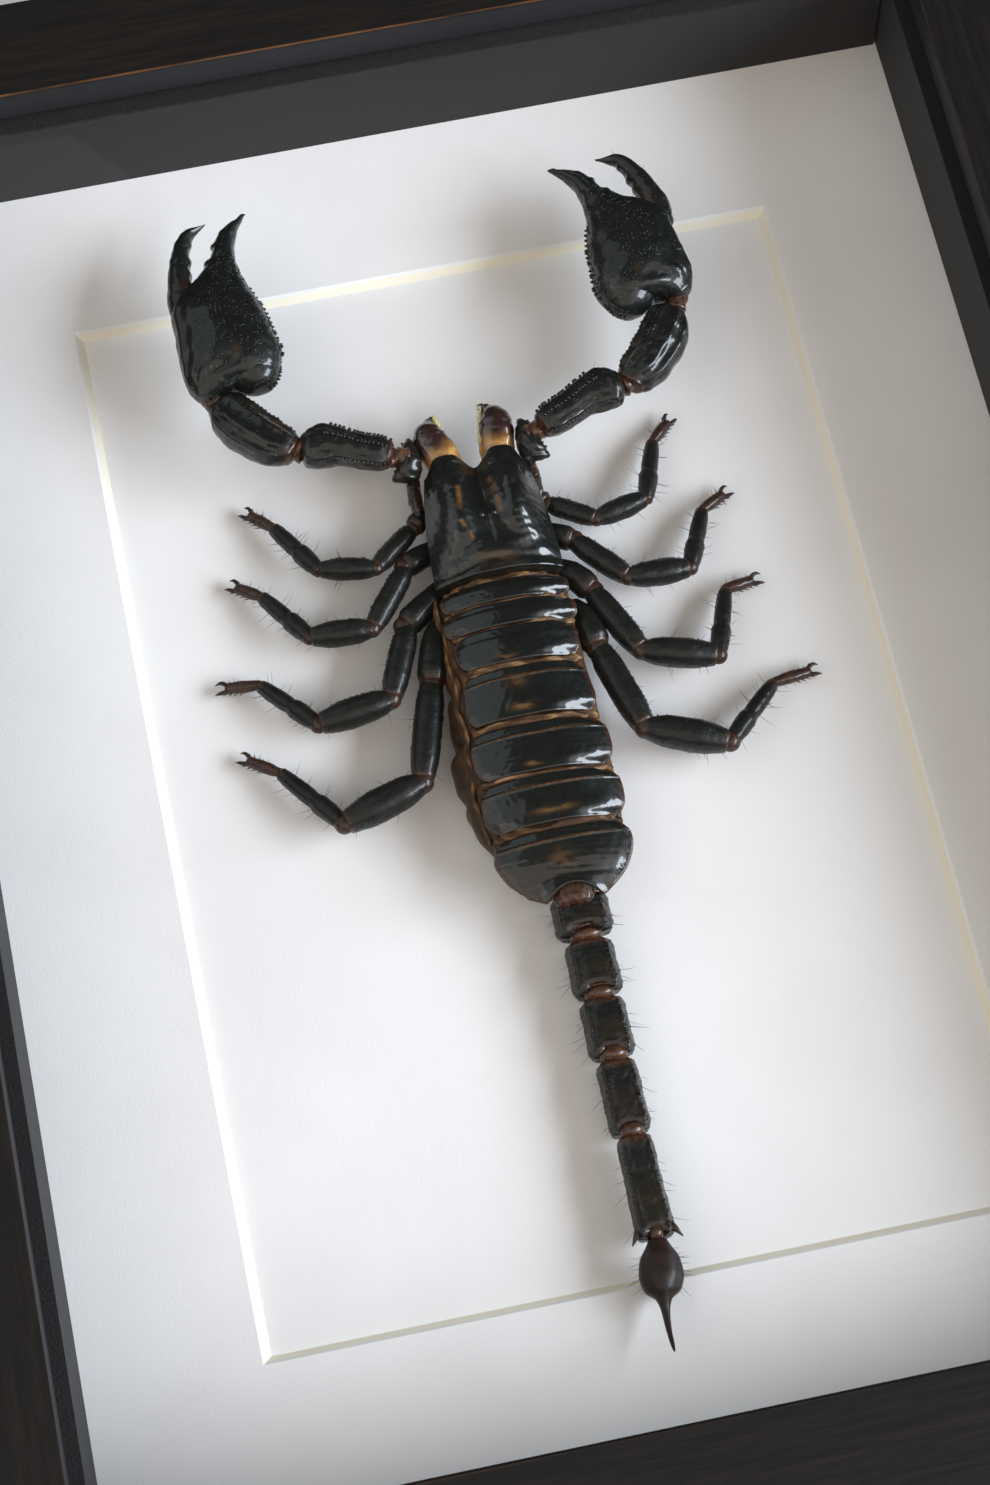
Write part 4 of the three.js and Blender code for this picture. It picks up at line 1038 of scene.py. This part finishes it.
for arm in ARMS:
    mirror = arm["mirror"]
    side = arm["side"]
    random = np.random.default_rng(90 + mirror)
    upper_arm_points, forearm_points, hand_points = (
        np.array(arm[key]) for key in ("upper_arm", "forearm", "hand")
    )

    def limb(points, height, rings, rows, sides, squareness=2.3):
        """A tube whose angles, kept as facing, start at the side towards the head on both arms."""
        rings = [full_ring(*ring) for ring in rings]
        if mirror < 0:
            rings = [(place, right, left, up, down) for place, left, right, up, down in rings]
        tube = Tube([(*point, height) for point in points], rings, rows, sides, squareness)
        tube.facing = tube.a if mirror > 0 else (math.pi - tube.a) % (2 * math.pi)
        return tube

    def spread_studs(tube, angles, shares, size, height, warm=0.0):
        """Studs on a limb, at the angles that they have on the left arm."""
        turned = np.asarray(angles) if mirror > 0 else math.pi - np.asarray(angles)
        places, normals = tube.spots(shares, np.broadcast_to(turned, np.shape(shares)))
        return studs(places, normals, size, height, warm)

    def scatter_studs(tube, count, angles, shares, size, height):
        """Studs at random places within ranges of angles and shares, their size given or a range."""
        spots = random.uniform(*angles, count), random.uniform(*shares, count)
        sizes = random.uniform(*size, count) if isinstance(size, tuple) else size
        return spread_studs(tube, *spots, sizes, height)

    def joint_between(first, second, share, half, height, paleness):
        """Skin from inside the end of one piece to inside the start of the next."""
        here = first[-1] + (first[-2] - first[-1]) * share
        there = second[0] + (second[1] - second[0]) * share
        return socket_skin(here, there, half, height, paleness)

    # The shoulder ends in a sharp corner, and a narrow hip piece runs back from it beside the carapace.
    shoulder = limb(arm["shoulder"], SHOULDER_HEIGHT, SHOULDER_RINGS, 40, 36, 2)
    shoulder.raise_by(0.12 * swells(shoulder.points, 1.2, 91))
    hip = limb(arm["hip"], SHOULDER_HEIGHT - 1.6, HIP_RINGS, 40, 24)
    hip.raise_by(0.12 * swells(hip.points, 1.0, 92))
    inside_arm = upper_arm_points[0] * 0.8 + upper_arm_points[1] * 0.2
    shoulder_parts = [
        shoulder.part(warm=0.05 + 0.25 * swells(shoulder.points, 2, 94)),
        hip.part(warm=0.4 + 0.4 * swells(hip.points, 2, 96)),
        socket_skin(arm["shoulder"][1], inside_arm, 1.35, SHOULDER_HEIGHT + 0.8),
        spread_studs(shoulder, 0.6, np.linspace(0.1, 0.9, 9), 0.26, 0.3),
        spread_studs(hip, 1.6, np.linspace(0.1, 0.9, 9), 0.2, 0.22, 0.5),
    ]
    add_piece(f"arm_{side}_shoulder", shoulder_parts, arm_chitin)

    upper_arm = limb(upper_arm_points, ARM_HEIGHT, UPPER_ARM_RINGS, 90, 56, 2.8)
    s, a = upper_arm.s, upper_arm.facing
    middle = ramp(s, 0.05, 0.15) * (1 - ramp(s, 0.85, 0.95))
    upper_arm.raise_by(
        middle * (0.18 * bell(a, 0.5, 0.12) + 0.12 * bell(a, 1.5, 0.1) + 0.18 * bell(a, 2.6, 0.14))
        - middle * 0.18 * (bell(a, 1.0, 0.25) + bell(a, 2.05, 0.28))
        + 0.3 * bell(s, 0.9, 0.05) * bell(a, 1.7, 0.8)
        + 0.06 * swells(upper_arm.points, 1.6, 93)
    )
    joint_tint = bell(s, 0, 0.05) + bell(s, 1, 0.04)
    upper_arm_parts = [upper_arm.part(warm=joint_tint)]
    for angle, first, last, count, size, height in (
        (0.5, 0.06, 0.66, 16, 0.34, 0.42),
        (0.15, 0.08, 0.6, 12, 0.22, 0.34),
        (1.5, 0.08, 0.72, 16, 0.3, 0.26),
        (2.7, 0.06, 0.5, 11, 0.3, 0.34),
    ):
        shares = np.linspace(first, last, count) + random.uniform(-0.008, 0.008, count)
        upper_arm_parts.append(spread_studs(upper_arm, angle, shares, size, height))
    upper_arm_parts.append(scatter_studs(upper_arm, 70, (0.2, 2.8), (0.08, 0.85), 0.11, 0.07))
    upper_arm_parts.append(bristles(upper_arm, 6, (0.1, 0.8), (0.0, math.pi), (1.2, 2.2), 0.3, 95))
    add_piece(f"arm_{side}_upper_arm", upper_arm_parts, arm_chitin)

    forearm = limb(forearm_points, ARM_HEIGHT, FOREARM_RINGS, 90, 64)
    s, a = forearm.s, forearm.facing
    middle = ramp(s, 0.06, 0.2) * (1 - ramp(s, 0.85, 0.97))
    forearm.raise_by(
        middle * 0.26 * bells(a, (0.4, 1.15, 1.85, 2.5), 0.12)
        - middle * 0.2 * bells(a, (0.78, 1.5, 2.15), 0.2)
        - 0.35 * bell(s, 0.86, 0.05) * bell(a, 1.8, 0.5)
        + 0.1 * swells(forearm.points * (1, 1, 0.5), 2.2, 97)
        + 0.03 * swells(forearm.points, 0.8, 102)
    )
    joint_tint = bell(s, 0, 0.06) + 0.6 * bell(s, 1, 0.04)
    forearm_parts = [
        forearm.part(warm=joint_tint, dust=0.25 * bell(a, 0.75, 0.2) * bell(s, 0.35, 0.3)),
        joint_between(upper_arm_points, forearm_points, 0.1, 1.7, ARM_HEIGHT - 0.1, 0.35),
        joint_between(forearm_points, hand_points, 0.05, 1.5, ARM_HEIGHT + 0.4, -0.1),
        spread_studs(forearm, 0.4, np.linspace(0.12, 0.85, 15), 0.17, 0.14),
        spread_studs(forearm, 1.05, np.linspace(0.12, 0.85, 15), 0.14, 0.11, 0.4),
        scatter_studs(forearm, 60, (0.2, 2.9), (0.1, 0.9), 0.1, 0.06),
    ]
    add_piece(f"arm_{side}_forearm", forearm_parts, arm_chitin)

    base, tip = hand_points
    reach = tip - base
    outward = unit(np.array((reach[1], -reach[0]))) * mirror

    def in_hand(share, gap_across):
        """A place by its share of the hand's length and its distance from the hand's middle line."""
        return base + reach * share + outward * gap_across

    hand = limb(hand_points, HAND_HEIGHT, HAND_RINGS, 140, 88)
    s, a = hand.s, hand.facing
    palm = ramp(s, 0.03, 0.1) * (1 - ramp(s, 0.45, 0.62))
    hand.raise_by(
        palm * 0.2 * bells(a, (1.78, 2.65), 0.13)
        - palm * 0.16 * bells(a, (1.98, 2.43), 0.14)
        - 0.4 * bell(a, 1.5, 0.16) * bell(s, 0.14, 0.07)
        + 0.12 * bell(a, 1.75, 0.1) * ramp(s, 0.45, 0.6)
        + 0.07 * swells(hand.points, 3, 99)
        + 0.03 * swells(hand.points, 0.9, 98)
        + bites(s, HAND_BITES) * bell(a, math.pi, 0.7)
    )
    heel = limb([in_hand(*spot) for spot in HEEL_WAY], HAND_HEIGHT, HEEL_RINGS, 80, 56, 2.1)
    heel.raise_by(0.06 * swells(heel.points, 2.2, 100))
    stain = 0.2 * bell(s, 0.2, 0.03) * bell(a, 1.42, 0.08)
    teeth = np.linspace(0.27, 0.6, 17) + random.uniform(-0.006, 0.006, 17)
    rim = np.linspace(0.45, 0.88, 12)
    hand_parts = [
        hand.part(dust=stain),
        heel.part(),
        spread_studs(hand, 0.04, teeth, random.uniform(0.22, 0.32, 17), 0.38),
        spread_studs(hand, 0.3, teeth[:-4] + 0.01, 0.18, 0.18),
        spread_studs(heel, math.pi - 0.05, rim, 0.28, 0.38),
        spread_studs(heel, math.pi - 0.4, rim, 0.2, 0.16),
        scatter_studs(hand, 360, (0.15, 2.1), (0.18, 0.75), (0.1, 0.2), 0.1),
        scatter_studs(heel, 60, (1.2, 3.0), (0.3, 0.8), 0.13, 0.07),
        spread_studs(hand, 1.78, np.linspace(0.08, 0.6, 18), 0.15, 0.1),
    ]
    add_piece(f"arm_{side}_hand", hand_parts, arm_chitin)

    finger_points = [
        in_hand(share * arm["finger_reach"], gap_across - arm["finger_shift"])
        for share, gap_across in FINGER_WAY
    ]
    finger = limb(finger_points, HAND_HEIGHT, FINGER_RINGS, 80, 40)
    s, a = finger.s, finger.facing
    inner_edge = bell((a + math.pi) % (2 * math.pi), math.pi, 0.7)
    finger.raise_by(
        0.12 * bell(a, 1.6, 0.2) * ramp(s, 0.25, 0.35)
        + 0.05 * swells(finger.points, 1.5, 101)
        + bites(s, FINGER_BITES) * inner_edge
    )
    joint_red = 1.2 * bell(s, 0.27, 0.09) * bell((a + 1.5) % (2 * math.pi), 1.9, 0.8)
    finger_parts = [
        finger.part(warm=joint_red),
        bristles(finger, 5, (0.4, 0.9), (0.5, 2.6), (0.7, 1.3), 0.3, 103),
    ]
    add_piece(f"arm_{side}_finger", finger_parts, arm_chitin)


# Legs: hip, thigh, knee piece, shin and foot, dull black with red-brown skin at the joints.
# Fine hairs stand on the shins, and each brown foot ends in two curved claws.
LEG_HEIGHTS = (3, 4.2, 4.8, 5.2, 4.4, 2.3, 1.4)
SHIN_HALF = 1.2
FOOT_HALF = 0.8
FOOT_BROWN = 0.75
EDGE_GRAINS = 18
TOP_GRAINS = 60
CLAW_RINGS = ((0.1, 0.34), (0.5, 0.26), (0.92, 0.07))
# Swells: shares along a piece, each with the share of its half width that it has there.
HIP_SWELL = ((0.1, 0.9), (0.55, 1.05), (0.82, 1.08), (0.93, 0.9))
THIGH_SWELL = ((0.06, 0.72), (0.3, 1), (0.72, 1.02), (0.95, 0.82))
SHANK_SWELL = ((0.06, 0.72), (0.3, 1.08), (0.62, 1.14), (0.95, 0.82))
FOOT_SWELL = ((0.1, 0.78), (0.5, 1.0), (0.92, 0.9))
# The shin is waisted where its lower piece starts.
SHIN_SWELL = ((0.06, 0.8), (0.28, 1.06), (0.42, 1.1), (0.5, 0.88), (0.58, 0.95), (0.8, 0.9), (0.95, 0.78))
LEG_HALVES = (1.3, 1.5, 1.7, 1.9)
# Rows: hidden root, hip, end of the hip piece, knee, end of the knee piece, ankle and toe, first leg first.
LEGS = {
    "left": (
        ((-6.9, 33.8), (-8.3, 33), (-9.6, 31.5), (-15.7, 26.5), (-23.3, 28.3), (-28.2, 37), (-31, 40)),
        ((-7, 28.6), (-8.9, 27.5), (-12, 26.1), (-17.9, 17.7), (-26.3, 18.6), (-31.6, 27), (-34.7, 29.5)),
        ((-7.4, 22.6), (-10.5, 19.8), (-13.7, 17.3), (-17.4, 7), (-27.5, 5.8), (-34.2, 14.1), (-38.7, 14.9)),
        ((-8.8, 17), (-9.9, 14.6), (-11.8, 8), (-15.7, -5.6), (-26.8, -8.9), (-33.8, 1), (-37.7, 4)),
    ),
    "right": (
        ((6.9, 33.8), (7.9, 32.6), (9, 31.4), (15, 27.6), (22.4, 29.7), (25.5, 39.1), (28.4, 42.2)),
        ((7, 28.6), (8.7, 27), (11.5, 25.3), (17.3, 18.1), (25.9, 18.1), (29.8, 27.4), (33.4, 29.6)),
        ((7.4, 22.6), (9.9, 20.6), (12.3, 17.2), (16.6, 7.1), (26.6, 4.6), (30.1, 15), (34.3, 15.9)),
        ((8.8, 16.2), (10.2, 13.4), (11, 8.7), (14.6, -4), (25.2, -8), (33.2, 0.1), (38.6, 1.1)),
    ),
}
leg_chitin = finish("black_chitin_dull", chitin(0.15, grain=0.12, tinge=DULL_TINGE))


def leg_tube(line, half, swell, rows=34, sides=26, squareness=2.3):
    """A piece of a leg, a little higher than it is wide."""
    rings = [(place, half * share, half * share * 1.1) for place, share in swell]
    return Tube(line, rings, rows, sides, squareness)


every_leg = [(side, pair, points) for side in LEGS for pair, points in enumerate(LEGS[side])]
for number, (side, pair, points) in enumerate(every_leg):
    thick = LEG_HALVES[pair]
    root, hip, hip_end, knee, knee_end, ankle, toe = (
        np.array((*point, height)) for point, height in zip(points, LEG_HEIGHTS)
    )
    random = np.random.default_rng(110 + number)
    thigh_start = hip + (hip_end - hip) * 0.75
    knee_start = knee - (knee_end - knee) * 0.06
    shin_start = knee_end - (ankle - knee_end) * 0.08
    foot_start = ankle - (toe - ankle) * 0.15
    hip_piece = leg_tube([root, hip, hip_end], thick, HIP_SWELL)
    thigh = leg_tube([thigh_start, knee], thick, THIGH_SWELL, 40, 30, 2.4)
    shank = leg_tube([knee_start, knee_end], thick, SHANK_SWELL, 40, 30, 2.4)
    shin = leg_tube([shin_start, ankle], SHIN_HALF, SHIN_SWELL, 48, 24)
    foot = leg_tube([foot_start, toe], FOOT_HALF, FOOT_SWELL, 24, 20)
    # Rows: piece, brown all over, and the ends that are brown with how far it reaches.
    browns = (
        (hip_piece, 0, ((1, 0.08),)),
        (thigh, 0, ((0, 0.06), (1, 0.06))),
        (shank, 0, ((0, 0.06), (1, 0.06))),
        (shin, 0, ((0, 0.05), (1, 0.08))),
        (foot, FOOT_BROWN, ()),
    )
    parts = []
    for seed, (tube, brown, ends) in enumerate(browns):
        keel = bells((tube.a + 0.3) % (2 * math.pi), (0.3, math.pi + 0.3), 0.14)
        lumps = 0.035 * swells(tube.points, 1.3, 120 + seed) + 0.04 * swells(tube.points, 0.7, 125 + seed)
        tube.raise_by(0.02 * thick * keel * bell(tube.s, 0.5, 0.35) + lumps)
        for end, reach in ends:
            brown = brown + bell(tube.s, end, reach)
        parts.append(tube.part(warm=brown))
    for joint, half in ((hip_end, 0.86), (knee, 0.8), (knee_end, 0.72)):
        size = thick * half
        parts.append(knob(joint, size, size, size, warm=0.55, skin=0.03))
    for tube in (thigh, shank):
        for angle in (0.3, math.pi - 0.3):
            shares = np.linspace(0.1, 0.9, EDGE_GRAINS) + random.uniform(-0.02, 0.02, EDGE_GRAINS)
            places, normals = tube.spots(shares, angle + random.uniform(-0.15, 0.15, EDGE_GRAINS))
            heights = random.uniform(0.08, 0.17, EDGE_GRAINS)
            parts.append(studs(places, normals, random.uniform(0.1, 0.18, EDGE_GRAINS), heights))
        shares = random.uniform(0.08, 0.92, TOP_GRAINS)
        places, normals = tube.spots(shares, random.uniform(0.3, math.pi - 0.3, TOP_GRAINS))
        parts.append(studs(places, normals, 0.11, 0.06))
    ahead = unit((toe - ankle) * (1, 1, 0))
    aside = np.array((-ahead[1], ahead[0], 0))
    for way in (-1, 1):
        claw_line = [
            toe - ahead * 0.7 + aside * way * 0.3,
            toe + ahead * 0.55 + aside * way * 0.75 + (0, 0, 0.2),
            toe + ahead * 1.45 + aside * way * 0.72 - (0, 0, 0.6),
        ]
        claw = Tube(claw_line, CLAW_RINGS, rows=16, sides=10)
        parts.append(claw.part(warm=0.5))
        for back in (0.4, 1.1, 1.8, 2.5):
            spine = toe - ahead * back + aside * way * 0.55
            parts.append(hairs(spine[None], (aside * way + ahead * 1.1)[None], 0.95, 0.11, 0.7))
    # Rows: piece, bristles on each side and their lengths.
    for tube, count, lengths in (
        (shin, 8, (1.0, 2.6)),
        (shank, 5, (0.8, 2.0)),
        (thigh, 3, (0.8, 1.8)),
        (foot, 6, (0.5, 1.1)),
    ):
        parts += side_bristles(tube, count, (0.1, 0.92), -0.6, 0.7, lengths, 0.35, 140 + number)
    add_piece(f"leg_{side}_{pair + 1}", parts, leg_chitin)


# Spacers: black foam board on edge between the mat and the glass.
# Their faces are smooth black paper, and the cut upper edge is rough and fuzzy, painted darker also as shade
# under the frame's lip.
BLACK_PAPER = (0.0135, 0.0132, 0.0138, 1)
BLACK_FUZZ_AND_SHADE = (0.003, 0.003, 0.0028, 1)
# Heights between which the smooth paper gives way to the cut edge and its painted shade.
FUZZ_START, FUZZ_FULL = 0.0238, 0.0247


def black_board(field):
    fuzz = field.noise(0.4, detail=6, roughness=0.7)
    edge = field.axes()[2].step(FUZZ_START, FUZZ_FULL)
    return {
        # The fuzzy cut edge is darker, partly as painted shade under the lip.
        "Base Color": (fuzz * edge).step(0.15, 0.5).blend(BLACK_PAPER, BLACK_FUZZ_AND_SHADE),
        "Roughness": 0.6 + fuzz * 0.3,
        "Normal": (fuzz * (0.15 + edge * 0.85)).bump(0.3),
    }


foam = finish("black_board", black_board)
for side in ("left", "right", "bottom", "top"):
    dress(f"spacer_{side}", foam)


# Glass: one clear pane held under the lip of the frame.
# Lamps shine straight through it, and its low index stands for a coating that dims reflections.
def clear_glass(field):
    return {
        "Base Color": (0.985, 1.0, 0.992, 1),
        "Roughness": 0.0,
        "IOR": 1.25,
        "Transmission Weight": 1.0,
    }


dress("glass_pane", finish("clear_glass", clear_glass))
pane = nodes["glass_pane"]
pane.visible_shadow = False
pane.visible_diffuse = False
pane.visible_glossy = False


# Frame rails: four mitred lengths of wood, stained black and rubbed, with a lip over the glass.
# The stain has worn through to brown along the inner edge of the lip.
RAIL_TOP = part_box("frame_rail_left")[1].z
# Painted light: the inner face of the lip gets this lighter, cooler grey for the window light on it.
LIP_PAINTED_LIGHT = (0.013, 0.0135, 0.0165, 1)
BARE_WOOD = (0.3, 0.12, 0.035, 1)


def black_wood(lengthways, inner_edge, wear):
    """Stained wood with its grain along one axis, worn at its inner edge."""
    stretch = (14, 1, 1) if lengthways == 0 else (1, 14, 1)

    def surface(field):
        grain = field.noise(0.9, stretch=stretch, detail=6, roughness=0.65)
        clouds = field.noise(14, stretch=stretch)
        place = field.axes()
        from_edge = field.math("ABSOLUTE", place[1 - lengthways] - inner_edge)
        below_top = RAIL_TOP - place[2]
        on_edge = (1 - from_edge.step(0.0001, 0.00022)) * (1 - below_top.step(0.00018, 0.00032))
        # The lip's inner face, which takes the painted light.
        lip = (1 - from_edge.step(0.0001, 0.0003)) * below_top.step(0.0005, 0.0008)
        streaks = grain * 0.7 + clouds * 0.3
        worn = on_edge * streaks.step(0.38, 0.6) * wear
        stained = streaks.step(0.4, 0.75).blend((0.0035, 0.003, 0.0026, 1), (0.011, 0.0075, 0.005, 1))
        return {
            "Base Color": worn.blend(lip.blend(stained, LIP_PAINTED_LIGHT), BARE_WOOD),
            "Roughness": 0.42 + grain * 0.25,
            "Specular IOR Level": 0.3,
            "Normal": grain.bump(0.06),
        }

    return surface


# Rows: side, axis along the rail, corner of its box at the inner edge, how far the stain is worn.
RAILS = (("left", 1, 1, 0.05), ("right", 1, 0, 0.05), ("bottom", 0, 1, 0.08), ("top", 0, 0, 0.5))
for side, lengthways, inner, wear in RAILS:
    inner_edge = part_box(f"frame_rail_{side}")[inner][1 - lengthways]
    dress(f"frame_rail_{side}", finish(f"black_wood_{side}", black_wood(lengthways, inner_edge, wear)))
    soften_edges(f"frame_rail_{side}", 0.5)

# Studio: a pale floor under the case, and a cool lamp like a window, low on the right.
# Dim warm light comes from the other sides, and a soft panel on the left shines on the plates.
FLOOR_HALF = 1.5
floor_corners = [(x * FLOOR_HALF, y * FLOOR_HALF, 0) for x, y in ((-1, -1), (1, -1), (1, 1), (-1, 1))]
floor_mesh = bpy.data.meshes.new("floor")
floor_mesh.from_pydata(floor_corners, [], [(0, 1, 2, 3)])


def pale_floor(field):
    clouds = field.noise(120)
    return {
        "Base Color": clouds.mottle((0.62, 0.61, 0.6, 1), (0.68, 0.67, 0.66, 1)),
        "Roughness": 0.8,
    }


floor_mesh.materials.append(finish("pale_floor", pale_floor))
floor = bpy.data.objects.new("floor", floor_mesh)
bpy.context.scene.collection.objects.link(floor)
LAMP_DISTANCE = 1.3


def lamp(name, way, size, watts, colour):
    """A soft rectangular lamp that faces the middle of the case."""
    light = bpy.data.lights.new(name, "AREA")
    light.shape = "RECTANGLE"
    light.size, light.size_y = size
    light.energy = watts
    light.color = colour
    holder = bpy.data.objects.new(name, light)
    holder.location = Vector(way).normalized() * LAMP_DISTANCE
    holder.rotation_euler = (-Vector(way)).to_track_quat("-Z", "Y").to_euler()
    holder.visible_camera = False
    bpy.context.scene.collection.objects.link(holder)


lamp("window", (0.8, -0.31, 0.47), (1.1, 0.55), 31, (0.82, 0.89, 1.0))
lamp("front_fill", (-0.1, -0.58, 0.8), (3.0, 1.5), 13, (1.0, 0.87, 0.77))
lamp("left_fill", (-0.85, -0.25, 0.5), (2.0, 1.1), 2.5, (1.0, 0.93, 0.88))
# The left panel is brighter towards its middle, so that its reflection fades out at the edges.
PANEL_LAYERS = ((1.25, 1.25, 3.2), (1.05, 0.95, 2.2), (0.65, 0.6, 1.1))
for layer, (width, height, watts) in enumerate(PANEL_LAYERS):
    lamp(f"left_panel_{layer}", (-0.58, 0.36, 0.73), (width, height), watts, (0.86, 0.95, 1.0))
world = bpy.data.worlds.new("studio")
world.use_nodes = True
backdrop = world.node_tree.nodes["Background"]
backdrop.inputs["Color"].default_value = (1.0, 0.84, 0.72, 1)
backdrop.inputs["Strength"].default_value = 0.08
bpy.context.scene.world = world
bpy.context.scene.view_settings.view_transform = "Standard"
